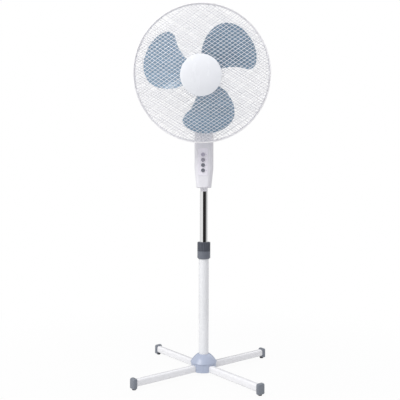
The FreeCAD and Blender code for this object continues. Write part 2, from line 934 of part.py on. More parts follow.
# ================================================================ neck (head frame, pivot at origin)
boss_bottom = neck_plate_top + washer_thickness + face_gap
link_bottom = neck_plate_top + 0.5
link_top = link_bottom + link_thickness


def neck():
    """The nodding piece: a tongue in the fork below, the swivel's seat above."""
    half = tongue_width / 2
    web = block(-half, half, -hinge_radius + 2, hinge_radius - 2, 0, neck_plate_bottom + 1)
    eye = rod(hinge_radius, Vector(-half, 0, 0), Vector(half, 0, 0))
    seat = lathe(
        (0, neck_plate_bottom),
        (neck_plate_radius - neck_plate_bevel, neck_plate_bottom),
        (neck_plate_radius, neck_plate_bottom + neck_plate_bevel),
        (neck_plate_radius, neck_plate_top),
        (0, neck_plate_top),
    )
    low = neck_plate_bottom + neck_lug_rise
    lug = block(0, link_pin_side, -link_width / 2, link_width / 2, low, neck_plate_top)
    lug_end = rod(
        link_width / 2, Vector(link_pin_side, 0, low), Vector(link_pin_side, 0, neck_plate_top)
    )
    body = eye.fuse([web, seat, lug, lug_end])
    body = body.cut(rod(tilt_bolt_radius + slide_fit, Vector(-half - 1, 0, 0), Vector(half + 1, 0, 0)))
    pin_hole = rod(
        swivel_pin_radius + slide_fit,
        Vector(0, 0, neck_plate_top - swivel_pin_depth),
        Vector(0, 0, neck_plate_top + 1),
    )
    link_hole = rod(
        link_pin_radius + slide_fit,
        Vector(link_pin_side, 0, neck_plate_top - link_pin_depth),
        Vector(link_pin_side, 0, neck_plate_top + 1),
    )
    return body.cut(pin_hole).cut(link_hole).removeSplitter()


def swivel_pin():
    """The steel pin that the head swings on."""
    return rod(
        swivel_pin_radius,
        Vector(0, 0, neck_plate_top - swivel_pin_depth),
        Vector(0, 0, swivel_pin_top),
    )


def thrust_washer():
    """A nylon washer between neck and gear case."""
    inner = swivel_pin_radius + seat_gap
    outer = boss_radius
    top = neck_plate_top + washer_thickness
    return lathe((inner, neck_plate_top), (outer, neck_plate_top), (outer, top), (inner, top))


def link_pin():
    """The headed pin that holds the link on the neck."""
    shank = rod(
        link_pin_radius,
        Vector(link_pin_side, 0, neck_plate_top - link_pin_depth),
        Vector(link_pin_side, 0, link_top + face_gap),
    )
    head = rod(
        link_pin_head,
        Vector(link_pin_side, 0, link_top + face_gap),
        Vector(link_pin_side, 0, link_top + face_gap + link_pin_head_height),
    )
    return shank.fuse(head).removeSplitter()


def crank_pin_spot():
    """The crank pin's place at rest, in the neck's frame, on the level."""
    a = math.radians(crank_angle)
    x = spindle_side + crank_throw * math.cos(a)
    y = -worm_station + crank_throw * math.sin(a)
    return turned_vector(Vector(x, y, 0), head_turn)


def turned_vector(vector, angle):
    """A vector turned about Z."""
    return Rotation(Vector(0, 0, 1), angle).multVec(vector)


def swing_link():
    """The flat bar from the neck to the crank that drives the swing."""
    start = Vector(link_pin_side, 0, 0)
    run = crank_pin_spot() - start
    half = link_width / 2
    bar = block(0, run.Length, -half + 1, half - 1, 0, link_thickness)
    ends = [
        Part.makeCylinder(half, link_thickness, Vector(x, 0, 0)) for x in (0, run.Length)
    ]
    bar = bar.fuse(ends)
    bar = bar.cut(Part.makeCylinder(link_pin_radius + slide_fit, link_thickness))
    bar = bar.cut(
        Part.makeCylinder(crank_pin_radius + face_gap, link_thickness, Vector(run.Length, 0, 0))
    )
    bar.Placement = Placement(
        Vector(link_pin_side, 0, link_bottom), Rotation(Vector(1, 0, 0), run)
    )
    return bar.removeSplitter()


# ================================================================ motor (head frame)
def station_block(x0, x1, s0, s1, h0, h1):
    """A box by side, station ahead of the swivel and height relative to the fan's axis."""
    return block(x0, x1, -s1, -s0, axis_height + h0, axis_height + h1)


def upright(radius, x, station, h0, h1):
    """A vertical cylinder in the head, heights relative to the fan's axis."""
    return rod(radius, Vector(x, -station, axis_height + h0), Vector(x, -station, axis_height + h1))


def motor_shaft():
    """The shaft, with the worm at its rear end and a flat for the blade hub at its front."""
    shaft = axial((0, shaft_rear), (shaft_radius, shaft_rear), (shaft_radius, shaft_front), (0, shaft_front))
    worm = axial(
        (0, worm_station - worm_length / 2),
        (worm_radius, worm_station - worm_length / 2),
        (worm_radius, worm_station + worm_length / 2),
        (0, worm_station + worm_length / 2),
    )
    return shaft.fuse(worm).removeSplitter()


def rotor_core():
    """The squirrel-cage rotor on the shaft."""
    inner = shaft_radius + slide_fit
    outer = stator_bore - air_gap
    return axial(
        (inner, stator_rear), (outer, stator_rear), (outer, stator_front), (inner, stator_front)
    )


def stator_core():
    """The stack of laminations."""
    return axial(
        (stator_bore, stator_rear),
        (stator_radius, stator_rear),
        (stator_radius, stator_front),
        (stator_bore, stator_front),
    )


def stator_windings():
    """The coil ends at both faces of the stack."""
    coils = []
    for start, way in ((stator_front, 1), (stator_rear, -1)):
        near = start + way * seat_gap
        far = near + way * winding_length
        coils.append(
            axial(
                (winding_inner, near),
                (winding_outer, near),
                (winding_outer, far - way * winding_bevel),
                (winding_outer - winding_bevel, far),
                (winding_inner + winding_inner_bevel, far),
                (winding_inner, far - way * winding_inner_bevel),
            )
        )
    return Part.makeCompound(coils)


def bearing(start):
    """A sintered bush on the shaft."""
    inner = shaft_radius + slide_fit
    end = start + bearing_length
    return axial((inner, start), (bearing_radius, start), (bearing_radius, end), (inner, end))


front_bearing_start = bracket_front - bearing_length
rear_bearing_start = bracket_rear - bearing_length + bracket_plate


def motor_front_bracket():
    """The die-cast front bracket: a cup over the stator with the nose for the guard nut."""
    rim = stator_radius + seat_gap
    back = bracket_front - bracket_plate
    seat = bearing_radius + seat_gap
    return axial(
        (seat, front_bearing_start),
        (seat + bearing_cup_wall, front_bearing_start),
        (seat + bearing_cup_wall, back),
        (rim, back),
        (rim, stator_front - bracket_lap),
        (rim + bracket_rim, stator_front - bracket_lap),
        (rim + bracket_rim, bracket_front),
        (nose_radius, bracket_front),
        (nose_radius, nose_front),
        (shaft_radius + 2, nose_front),
        (shaft_radius + 2, bracket_front),
        (seat, bracket_front),
    )


def gear_case():
    """The rear casting: cup behind the stator, gear tray, and the boss on the swivel pin."""
    rim = stator_radius + seat_gap
    seat = bearing_radius + seat_gap
    front = bracket_rear + bracket_plate
    cup = axial(
        (seat, rear_bearing_start),
        (seat + bearing_cup_wall, rear_bearing_start),
        (seat + bearing_cup_wall, bracket_rear),
        (rim + bracket_rim, bracket_rear),
        (rim + bracket_rim, stator_rear + bracket_lap),
        (rim, stator_rear + bracket_lap),
        (rim, front),
        (seat, front),
    )
    tray = station_block(tray_side, tray_far_side, tray_rear, tray_front, tray_floor, tray_rim)
    hollow = station_block(
        tray_side + tray_wall,
        tray_far_side - tray_wall,
        tray_rear + tray_wall,
        tray_front - tray_wall,
        tray_floor + tray_wall,
        tray_rim + 1,
    )
    bridge = station_block(
        bridge_side, bridge_far_side, tray_front - 1, bracket_rear + 1, tray_floor, bridge_top
    )
    arm_top = arm_sink - rim - bracket_rim
    arm = station_block(
        -arm_width / 2, arm_width / 2, bracket_rear, boss_radius, arm_top - arm_thickness, arm_top
    )
    post = station_block(-arm_width / 2, arm_width / 2, bracket_rear, front, arm_top - 1, post_sink - rim)
    boss = rod(boss_radius, Vector(0, 0, boss_bottom), Vector(0, 0, axis_height + arm_top - 1))
    clear = axial((0, stator_rear - 1), (rim, stator_rear - 1), (rim, stator_front), (0, stator_front))
    case = cup.fuse([tray.cut(hollow), bridge, post, arm.cut(clear), boss])
    way_rear = tray_rear + tray_wall + 1
    way_front = tray_front + tray_wall
    shaft_way = axial(
        (0, way_rear), (worm_radius + 1, way_rear), (worm_radius + 1, way_front), (0, way_front)
    )
    pin_bore = rod(
        swivel_pin_radius + slide_fit, Vector(0, 0, boss_bottom - 1), Vector(0, 0, swivel_pin_top + 1)
    )
    spindle_bore = upright(
        spindle_radius + slide_fit, spindle_side, worm_station, tray_floor - 1, tray_floor + tray_wall + 1
    )
    return case.cut([shaft_way, pin_bore, spindle_bore]).removeSplitter()


def gear_lid():
    """The plate that closes the gear tray."""
    lid = station_block(
        tray_side, tray_far_side, tray_rear, tray_front, tray_rim, tray_rim + lid_thickness
    )
    return lid.cut(
        upright(spindle_radius + face_gap, spindle_side, worm_station, 0, tray_rim + 2 * lid_thickness)
    )


def worm_wheel():
    """The toothed wheel that the worm turns."""
    blank = upright(wheel_radius, spindle_side, worm_station, -wheel_height / 2, wheel_height / 2)
    centre = Vector(spindle_side, -worm_station, axis_height)
    pitch = math.radians(360.0 / wheel_teeth)
    root = wheel_radius - wheel_tooth_depth
    low = -wheel_height / 2 - 1
    deep = root * pitch * wheel_gap_root_share / 2
    open_end = wheel_radius * pitch * wheel_gap_tip_share / 2
    gap = [
        Vector(root, -deep, low),
        Vector(wheel_radius + 1, -open_end, low),
        Vector(wheel_radius + 1, open_end, low),
        Vector(root, deep, low),
    ]
    cutter = Part.Face(outline(gap[0], *gap[1:])).extrude(Vector(0, 0, wheel_height + 2))
    cutter = Part.makeCompound(around(cutter, wheel_teeth))
    cutter.translate(centre)
    bore = upright(spindle_radius + face_gap, spindle_side, worm_station, -wheel_height, wheel_height)
    return blank.cut(cutter).cut(bore)


def crank():
    """The spindle under the worm wheel, with the crank arm and its pin at the foot."""
    spindle = upright(spindle_radius, spindle_side, worm_station, crank_top, wheel_height / 2)
    low = axis_height + crank_top - crank_thickness
    half = crank_width / 2
    arm = block(0, crank_throw, -half, half, low, low + crank_thickness)
    ends = [
        Part.makeCylinder(half, crank_thickness, Vector(x, 0, low)) for x in (0, crank_throw)
    ]
    pin = Part.makeCylinder(
        crank_pin_radius, crank_pin_length, Vector(crank_throw, 0, low - crank_pin_length)
    )
    arm = turned(arm.fuse(ends + [pin]), crank_angle)
    return spindle.fuse(moved(arm, spindle_side, -worm_station)).removeSplitter()


def oscillation_knob():
    """The pull knob over the clutch: stem through the lid, mushroom head over the cover."""
    side_drop = cover_radius - math.sqrt(cover_radius**2 - (spindle_side + knob_radius) ** 2)
    skin = cover_radius - side_drop * knob_skin_share
    head_low = skin + knob_stand
    stem = upright(spindle_radius, spindle_side, worm_station, wheel_height / 2 + knob_stand, head_low)
    centre = Vector(spindle_side, -worm_station, axis_height)
    head = moved(
        lathe(
            (0, head_low),
            (knob_radius - knob_base_edge, head_low),
            (knob_radius, head_low + knob_edge),
            (knob_radius, head_low + knob_height - knob_edge),
            (knob_radius - knob_edge, head_low + knob_height),
            (0, head_low + knob_height),
        ),
        centre.x,
        centre.y,
        centre.z,
    )
    return stem.fuse(head).removeSplitter()


def cover_profile(inset):
    """Half section of the rear cover's bell, as (radius, station) vectors."""
    r = cover_radius - inset
    back = cover_rear + inset
    c = cover_round - inset
    k = 1 - math.sqrt(0.5)
    return [
        Vector(0, 0, cover_split),
        Vector(r, 0, cover_split),
        Vector(r, 0, back + c),
        (Vector(r - c * k, 0, back + c * k), Vector(r - c, 0, back)),
        Vector(0, 0, back),
    ]


def motor_rear_cover():
    """The bell over motor and gears, vented at the back and open below for the swivel boss."""
    outer, inner = (
        Part.Face(outline(p[0], *p[1:])).revolve(Vector(0, 0, 0), Vector(0, 0, 1), 360)
        for p in (cover_profile(0), cover_profile(cover_wall))
    )
    cover = outer.cut(inner)
    half = vent_width / 2
    near = vent_circle - vent_length / 2
    slot = block(-half, half, near, near + vent_length, cover_rear - 1, vent_floor)
    cover = along_fan(cover.cut(Part.makeCompound(around(slot, vent_count))))
    low = -cover_radius - 1
    mouth = upright(boss_radius + boss_clear, 0, 0, low, -cover_radius / 2)
    way = spindle_radius + spindle_clear
    spindle_way = upright(way, spindle_side, worm_station, low, tray_floor - 1)
    knob_way = upright(way, spindle_side, worm_station, cover_radius / 2, cover_radius + 1)
    return cover.cut([mouth, spindle_way, knob_way])


guard_plate_half = mesh_wire + mesh_layer_gap / 2
cover_face = rim_station - face_gap - rear_bowl_depth - guard_plate_half - seat_gap


def motor_front_cover():
    """The front of the motor's casing, clamped between bracket and guard."""
    r = cover_radius
    w = cover_wall
    hole = nose_radius + seat_gap
    rim = stator_radius + seat_gap + bracket_rim
    return axial(
        (hole, bracket_front + seat_gap),
        (rim - bracket_rim, bracket_front + seat_gap),
        (rim - bracket_rim, cover_face - w),
        (r - w - cover_bevel, cover_face - w),
        (r - w, cover_face - w - cover_bevel),
        (r - w, cover_split),
        (r, cover_split),
        (r, cover_face - cover_face_bevel),
        (r - cover_face_bevel, cover_face),
        (hole, cover_face),
    )


# ================================================================ blades (head frame)
def blade_surface_section(x):
    """The blade's cambered cross-section at a distance out from the axis, as a closed wire."""
    twist = math.atan2(blade_pitch_length, 2 * math.pi * x)
    reach = blade_slab_half
    rows = []
    for lift in (-blade_thickness / 2, blade_thickness / 2):
        row = []
        for share in (-1.0, 0.0, 1.0):
            across = share * reach
            bow = lift - blade_camber * share**2
            row.append(
                Vector(
                    x,
                    across * math.cos(twist) + bow * math.sin(twist),
                    across * math.sin(twist) - bow * math.cos(twist),
                )
            )
        rows.append(row)
    low, high = rows
    return outline(low[0], (low[1], low[2]), high[2], (high[1], high[0]))


def polar(radius, angle):
    """A point of the blade's outline, angle from the blade's own middle."""
    return turned_point(radius, angle, 0)


def blade_outline():
    """The blade seen from the front: hollow leading edge, round tip, full trailing edge."""
    tip = ring_radius - blade_tip_gap
    lead = Part.BSplineCurve()
    lead.interpolate([polar(share * tip, angle) for share, angle in blade_leading])
    trail = Part.BSplineCurve()
    trail.interpolate([polar(share * tip, angle) for share, angle in blade_trailing])
    low = blade_leading[-1][1]
    high = blade_trailing[0][1]
    edges = [
        lead.toShape(),
        Part.Arc(polar(tip, low), polar(tip, (low + high) / 2), polar(tip, high)).toShape(),
        trail.toShape(),
        Part.LineSegment(trail.EndPoint, lead.StartPoint).toShape(),
    ]
    return Part.Wire(edges)


def fan_blade():
    """The moulded fan: three twisted, cambered blades on a cup-shaped hub."""
    sections = [blade_surface_section(x) for x in blade_section_radii]
    twisted_slab = Part.makeLoft(sections, True, False)
    silhouette = Part.Face(blade_outline()).extrude(Vector(0, 0, 2 * blade_slab_half))
    silhouette.translate(Vector(0, 0, -blade_slab_half))
    blade = moved(twisted_slab.common(silhouette), z=blade_station)
    hub = lathe(
        (0, blade_hub_front - blade_hub_wall),
        (blade_hub_radius - blade_hub_wall, blade_hub_front - blade_hub_wall - blade_hub_edge),
        (blade_hub_radius - blade_hub_wall, blade_hub_rear),
        (blade_hub_radius, blade_hub_rear),
        (blade_hub_radius, blade_hub_front - blade_hub_edge),
        (blade_hub_radius - blade_hub_edge, blade_hub_front),
        (0, blade_hub_front),
    )
    boss = lathe(
        (0, blade_hub_rear + blade_boss_rise),
        (blade_boss_radius, blade_hub_rear + blade_boss_rise),
        (blade_boss_radius, blade_hub_front - 1),
        (0, blade_hub_front - 1),
    )
    core = Part.makeCylinder(
        blade_hub_radius - blade_hub_wall, 2 * blade_hub_front, Vector(0, 0, 0)
    )
    rib = block(
        blade_boss_radius - 1,
        blade_hub_radius - 1,
        -1,
        1,
        blade_hub_rear + blade_rib_rise,
        blade_hub_front - blade_hub_wall,
    )
    ribs = around(rib, 2 * blade_count)
    wheel = hub.fuse([boss] + ribs)
    for share in around(turned(blade.cut(core), blade_angle), blade_count):
        wheel = wheel.fuse(share)
    bore = Part.makeCylinder(shaft_radius + slide_fit, 2 * blade_hub_front)
    return along_fan(wheel.cut(bore).removeSplitter())


def blade_nut():
    """The spinner that screws on the shaft in front of the hub."""
    start = blade_hub_front
    nut = lathe(
        (0, start),
        (spinner_radius, start),
        (spinner_radius, start + spinner_length - spinner_bevel_length),
        (spinner_radius - spinner_bevel, start + spinner_length),
        (0, start + spinner_length + spinner_crown),
    )
    spot = Vector(spinner_radius + spinner_groove_out, 0, start - 1)
    groove = Part.makeCylinder(spinner_groove_radius, 2 * spinner_length, spot)
    nut = nut.cut(Part.makeCompound(around(groove, spinner_grooves)))
    depth = shaft_front - start + seat_gap
    nut = nut.cut(Part.makeCylinder(shaft_radius + slide_fit, depth, Vector(0, 0, start)))
    return along_fan(nut)


# ================================================================ guards (head frame)
hoop_outer = ring_radius - ring_wall - face_gap
hoop_middle = hoop_outer - hoop_thickness / 2
bowl_radius = hoop_middle - rear_bowl_inset


def hoop(near, far):
    """A many-sided hoop about the fan's axis between two stations."""
    rings = []
    for radius in (hoop_outer, hoop_outer - hoop_thickness):
        corners = [polar(radius, 360.0 * i / hoop_sides) for i in range(hoop_sides)]
        rings.append(Part.Face(outline(corners[0], *corners[1:])))
    band = rings[0].cut(rings[1]).extrude(Vector(0, 0, far - near))
    return moved(band, z=near)


def dome_point(across, offset, lift):
    """Height over the rim of a spherical dome, lifted from the middle surface."""
    depth = front_dome_depth - hoop_width / 2
    sphere = (hoop_middle**2 + depth**2) / (2 * depth)
    return math.sqrt((sphere + lift) ** 2 - across**2 - offset**2) - (sphere - depth)


def bowl_point(across, offset, lift):
    """Depth behind the rim of an elliptical bowl, lifted from the middle surface."""
    depth = rear_bowl_depth - hoop_width / 2 + lift
    share = (across**2 + offset**2) / bowl_radius**2
    return depth * math.sqrt(max(0.0, 1 - share))


def mesh_wire_solid(offset, lift, surface, even):
    """One bent wire at an offset from the middle, as a prism of a thin polygon.

    The wire lies in the plane of X and Z. Its corners are evenly spaced along the level for a
    dome, and crowd towards the rim for a bowl, whose sides are steep there.
    """
    radius = hoop_middle if even else bowl_radius
    reach = math.sqrt(radius**2 - offset**2)
    count = max(2, math.ceil(2 * reach / mesh_segment))
    if not even:
        count += 1
    lower = []
    upper = []
    for i in range(count + 1):
        share = 2.0 * i / count - 1.0
        across = reach * (share if even else math.sin(share * math.pi / 2))
        for corners, extra in ((lower, -mesh_wire / 2), (upper, mesh_wire / 2)):
            stretch = 1.0 if even else (radius + extra) / radius
            height = surface(across, offset, lift + extra)
            corners.append(Vector(across * stretch, 0, height))
    ring = lower + upper[::-1]
    wire = Part.Face(outline(ring[0], *ring[1:])).extrude(Vector(0, mesh_wire, 0))
    return moved(wire, y=offset - mesh_wire / 2)


def mesh_layers(surface, pitch, even):
    """Both crossed families of wires, one on each side of the middle surface."""
    count = int((hoop_middle - mesh_margin) // pitch)
    wires = []
    spread = (mesh_wire + mesh_layer_gap) / 2
    for lift, angle in ((spread, mesh_angle), (-spread, -mesh_angle)):
        for i in range(-count, count + 1):
            wire = mesh_wire_solid(i * pitch, lift, surface, even)
            wires.append(turned(wire, angle))
    return wires


def front_guard():
    """The domed wire-mesh guard before the blades, welded in its hoop."""
    wires = [moved(w, z=hoop_width / 2) for w in mesh_layers(dome_point, mesh_pitch, True)]
    cage = hoop(0, hoop_width).fuse(wires)
    return along_fan(moved(cage, z=rim_station + face_gap))


def rear_guard():
    """The wire-mesh bowl behind the blades, with the plate that bolts on the motor."""
    wires = [moved(w, z=hoop_width / 2) for w in mesh_layers(bowl_point, rear_mesh_pitch, False)]
    core = Part.makeCylinder(rear_plate_radius - rear_plate_lap, 3 * rear_bowl_depth)
    wires = [w.cut(core) for w in wires]
    half = guard_plate_half
    plate = lathe(
        (nose_radius + seat_gap, rear_bowl_depth - half),
        (guard_nut_radius + 2, rear_bowl_depth - half),
        (rear_plate_radius, rear_bowl_depth - half - rear_plate_dish),
        (rear_plate_radius, rear_bowl_depth),
        (guard_nut_radius + 2, rear_bowl_depth + half),
        (nose_radius + seat_gap, rear_bowl_depth + half),
    )
    cage = hoop(0, hoop_width).fuse(wires + [plate])
    cage.rotate(Vector(0, 0, 0), Vector(1, 0, 0), 180)
    return along_fan(moved(cage, z=rim_station - face_gap))


def guard_ring():
    """The channel-section ring that clips the two hoops together."""
    half = ring_width / 2
    inner = ring_radius - ring_wall
    lip = ring_radius - ring_wall - ring_lip
    web = hoop_width + 2 * face_gap
    bend = ring_radius - ring_round
    k = ring_round * math.sqrt(0.5)
    profile = outline(
        Vector(lip, 0, -half),
        Vector(bend, 0, -half),
        (Vector(bend + k, 0, -half + ring_round - k), Vector(ring_radius, 0, -half + ring_round)),
        Vector(ring_radius, 0, half - ring_round),
        (Vector(bend + k, 0, half - ring_round + k), Vector(bend, 0, half)),
        Vector(lip, 0, half),
        Vector(lip, 0, web),
        Vector(inner, 0, web),
        Vector(inner, 0, -web),
        Vector(lip, 0, -web),
    )
    half_ring = Part.Face(profile).revolve(Vector(0, 0, 0), Vector(0, 0, 1), 180)
    ring = half_ring.fuse(turned(half_ring, 180))
    return along_fan(moved(ring, z=rim_station))


def rear_guard_nut():
    """The lugged ring nut that clamps the rear guard on the motor's nose."""
    start = rim_station - face_gap - rear_bowl_depth + guard_plate_half + seat_gap
    inner = nose_radius + slide_fit
    ring = lathe(
        (inner, start),
        (guard_nut_radius - guard_nut_lug, start),
        (guard_nut_radius - guard_nut_lug, start + guard_nut_thickness),
        (inner, start + guard_nut_thickness),
    )
    half = guard_nut_lug / 2
    root = guard_nut_radius - guard_nut_lug - guard_nut_lug_sink
    far = start + guard_nut_thickness - guard_nut_lug_drop
    lug = block(root, guard_nut_radius, -half, half, start, far)
    return along_fan(ring.fuse(around(lug, guard_nut_lugs)).removeSplitter())


def badge():
    """The plain domed disc in the middle of the front guard."""
    depth = front_dome_depth - hoop_width / 2
    sphere = (hoop_middle**2 + depth**2) / (2 * depth)
    centre = rim_station + face_gap + hoop_width / 2 + depth - sphere
    skin = sphere + mesh_wire + mesh_layer_gap / 2 + face_gap
    rim = centre + math.sqrt(skin**2 - badge_radius**2)
    middle = badge_radius / 2
    face_radius = badge_radius - badge_bevel
    face_rim = rim + badge_edge
    crown = centre + skin + badge_edge + badge_crown
    rise = crown - face_rim
    bulge = (face_radius**2 + rise**2) / (2 * rise)
    shape = outline(
        Vector(0, 0, centre + skin),
        (Vector(middle, 0, centre + math.sqrt(skin**2 - middle**2)), Vector(badge_radius, 0, rim)),
        Vector(badge_radius, 0, face_rim - badge_bevel),
        Vector(face_radius, 0, face_rim),
        (
            Vector(face_radius / 2, 0, crown - bulge + math.sqrt(bulge**2 - face_radius**2 / 4)),
            Vector(0, 0, crown),
        ),
    )
    disc = Part.Face(shape).revolve(Vector(0, 0, 0), Vector(0, 0, 1), 360)
    return along_fan(disc)


# ================================================================ export
parts = {
    "base_rail_lower": rail(leg_angle, rail_middle, rail_top + 1),
    "base_rail_upper": rail(leg_angle - 90, rail_bottom - 1, rail_middle),
    "leg_caps": leg_caps(),
    "foot_pads": foot_pads(),
    "hub_cover": hub_cover(),
    "pole_socket": pole_socket(),
    "flange_screws": flange_screws(),
    "base_plate": base_plate(),
    "base_bolt": base_bolt(),
    "lower_pole": lower_pole(),
    "pole_guide_bush": pole_guide_bush(),
    "height_collar": height_collar(),
    "height_collet": height_collet(),
    "height_lock_nut": height_lock_nut(),
    "upper_pole": upper_pole(),
    "pole_end_plug": pole_end_plug(),
    "support_pillar": support_pillar(),
    "housing_front": housing_front(),
    "housing_rear": housing_rear(),
    "housing_screws": housing_screws(),
    "button_panel": button_panel(),
    "speed_switch": speed_switch(),
    "tilt_bolt": tilt_bolt(),
    "tilt_nut": tilt_nut(),
    "neck": on_neck(neck()),
    "swivel_pin": on_neck(swivel_pin()),
    "thrust_washer": on_neck(thrust_washer()),
    "link_pin": on_neck(link_pin()),
    "swing_link": on_neck(swing_link()),
    "motor_shaft": on_head(motor_shaft()),
    "rotor_core": on_head(rotor_core()),
    "stator_core": on_head(stator_core()),
    "stator_windings": on_head(stator_windings()),
    "front_bearing": on_head(bearing(front_bearing_start)),
    "rear_bearing": on_head(bearing(rear_bearing_start)),
    "motor_front_bracket": on_head(motor_front_bracket()),
    "gear_case": on_head(gear_case()),
    "gear_lid": on_head(gear_lid()),
    "worm_wheel": on_head(worm_wheel()),
    "crank": on_head(crank()),
    "oscillation_knob": on_head(oscillation_knob()),
    "motor_rear_cover": on_head(motor_rear_cover()),
    "motor_front_cover": on_head(motor_front_cover()),
    "fan_blade": on_head(fan_blade()),
    "blade_nut": on_head(blade_nut()),
    "front_guard": on_head(front_guard()),
    "rear_guard": on_head(rear_guard()),
    "guard_ring": on_head(guard_ring()),
    "rear_guard_nut": on_head(rear_guard_nut()),
    "badge": on_head(badge()),
}
for index, name in enumerate(("speed_3_button", "speed_2_button", "speed_1_button", "off_button")):
    parts[name] = button(index)

os.makedirs("parts", exist_ok=True)
for name, shape in parts.items():
    shape.exportStep(os.path.join("parts", name + ".step"))
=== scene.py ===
import json
import math

import bmesh
import bpy
from mathutils import Matrix, Vector


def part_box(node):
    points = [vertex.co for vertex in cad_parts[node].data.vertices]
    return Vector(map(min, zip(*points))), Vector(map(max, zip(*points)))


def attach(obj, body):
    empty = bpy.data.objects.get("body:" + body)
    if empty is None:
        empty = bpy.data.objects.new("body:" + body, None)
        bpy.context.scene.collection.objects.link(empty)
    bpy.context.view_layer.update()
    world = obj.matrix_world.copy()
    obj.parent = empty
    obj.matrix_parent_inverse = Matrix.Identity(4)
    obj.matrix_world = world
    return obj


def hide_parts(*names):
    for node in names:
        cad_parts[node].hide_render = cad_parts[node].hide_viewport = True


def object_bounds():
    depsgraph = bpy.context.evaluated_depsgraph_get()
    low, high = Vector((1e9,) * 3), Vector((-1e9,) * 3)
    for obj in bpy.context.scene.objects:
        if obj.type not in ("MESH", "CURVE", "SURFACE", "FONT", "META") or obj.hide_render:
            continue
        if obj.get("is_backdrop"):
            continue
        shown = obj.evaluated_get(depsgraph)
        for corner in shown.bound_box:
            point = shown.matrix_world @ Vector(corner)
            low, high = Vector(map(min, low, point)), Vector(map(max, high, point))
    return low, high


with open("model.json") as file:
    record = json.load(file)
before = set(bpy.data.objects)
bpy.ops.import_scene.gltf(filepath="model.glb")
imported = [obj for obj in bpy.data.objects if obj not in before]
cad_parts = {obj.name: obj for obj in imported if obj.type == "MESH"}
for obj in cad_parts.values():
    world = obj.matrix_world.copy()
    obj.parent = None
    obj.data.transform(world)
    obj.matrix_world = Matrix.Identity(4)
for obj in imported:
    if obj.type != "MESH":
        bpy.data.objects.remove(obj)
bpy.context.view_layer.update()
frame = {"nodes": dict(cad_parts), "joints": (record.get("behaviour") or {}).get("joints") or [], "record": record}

# Pedestal fan. Every CAD node gets a material. The guards, ring, badge, blades, buttons, tilt
# bolt and housing screws are replaced by finer meshes, and marks and grip ribs are added.
# Lengths are in metres and angles in degrees, unless a name says otherwise.
nodes = frame["nodes"]
record = frame["record"]
joints = {j["name"]: j for j in frame["joints"]}

# ---------------------------------------------------------------- frames
forward = Vector(joints["spin"]["axis"]).normalized()
head_up = Vector(joints["oscillation"]["axis"]).normalized()
side = head_up.cross(forward)


def axes(x, y, z, origin):
    """A placement whose columns are three axes and an origin."""
    return Matrix(
        (
            (x.x, y.x, z.x, origin.x),
            (x.y, y.y, z.y, origin.y),
            (x.z, y.z, z.z, origin.z),
            (0, 0, 0, 1),
        )
    )


# X to the fan's side, Y up, Z forward, with its origin on the fan's axis over the swivel
fan = axes(side, head_up, forward, Vector(joints["spin"]["pos_m"]))
head = axes(side, -forward, head_up, Vector(joints["tilt"]["pos_m"]))
WORLD = Matrix.Identity(4)
X, Y, Z = Vector((1, 0, 0)), Vector((0, 1, 0)), Vector((0, 0, 1))


def extent(node, place):
    """(largest radius, lowest, highest) of a node about the Z axis of a placement."""
    inverse = place.inverted()
    points = [inverse @ v.co for v in nodes[node].data.vertices]
    heights = [p.z for p in points]
    return max(math.hypot(p.x, p.y) for p in points), min(heights), max(heights)


def midway(values):
    """Halfway between the lowest and the highest of some values."""
    values = list(values)
    return (min(values) + max(values)) / 2


# ---------------------------------------------------------------- mesh helpers
CORNER_SHARE = 0.45  # the most of a side that one rounded corner takes
ON_AXIS = 1e-7  # a smaller radius counts as the axis itself


def piece(name, verts, faces, place=WORLD, smooth=True):
    """A mesh object from points and faces, set where it belongs."""
    mesh = bpy.data.meshes.new(name)
    mesh.from_pydata([tuple(place @ Vector(v)) for v in verts], [], faces)
    mesh.validate()
    if smooth:
        mesh.shade_smooth()
    thing = bpy.data.objects.new(name, mesh)
    bpy.context.scene.collection.objects.link(thing)
    return thing


def settle(thing, body, material, stands_for=()):
    """Gives a piece its material and its body, and hides the nodes that it stands for."""
    thing.data.materials.clear()
    thing.data.materials.append(MATERIALS[material])
    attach(thing, body)
    if stands_for:
        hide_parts(*stands_for)
    return thing


def rounded(profile, radius, steps=4):
    """A polyline with each inner corner turned on a small arc."""
    out = [profile[0]]
    for before, corner, after in zip(profile, profile[1:], profile[2:]):
        a, b, c = Vector(before), Vector(corner), Vector(after)
        ab, cb = a - b, c - b
        reach = min(radius, ab.length * CORNER_SHARE, cb.length * CORNER_SHARE)
        start, end = b + ab.normalized() * reach, b + cb.normalized() * reach
        for i in range(steps + 1):
            t = i / steps
            p = start * (1 - t) ** 2 + b * 2 * t * (1 - t) + end * t**2
            out.append((p.x, p.y))
    out.append(profile[-1])
    return out


def rounded_loop(profile, radius, steps=4):
    """A closed profile with every corner but its first turned on a small arc."""
    return rounded(profile + profile[:1], radius, steps)[:-1]


def lathe(name, profile, place=WORLD, segments=96, closed=False):
    """A profile of (radius, height) turned about Z. A closed profile makes a ring."""
    verts, faces, rows = [], [], []
    for radius, height in profile:
        if radius < ON_AXIS:
            rows.append([len(verts)] * segments)
            verts.append((0, 0, height))
        else:
            rows.append(list(range(len(verts), len(verts) + segments)))
            for i in range(segments):
                a = math.tau * i / segments
                verts.append((radius * math.cos(a), radius * math.sin(a), height))
    pairs = list(zip(rows, rows[1:]))
    if closed:
        pairs.append((rows[-1], rows[0]))
    for low, high in pairs:
        for i in range(segments):
            j = (i + 1) % segments
            ring = [low[i], low[j], high[j], high[i]]
            ring = [v for k, v in enumerate(ring) if v not in ring[:k]]
            if len(ring) > 2:
                faces.append(ring)
    return piece(name, verts, faces, place)


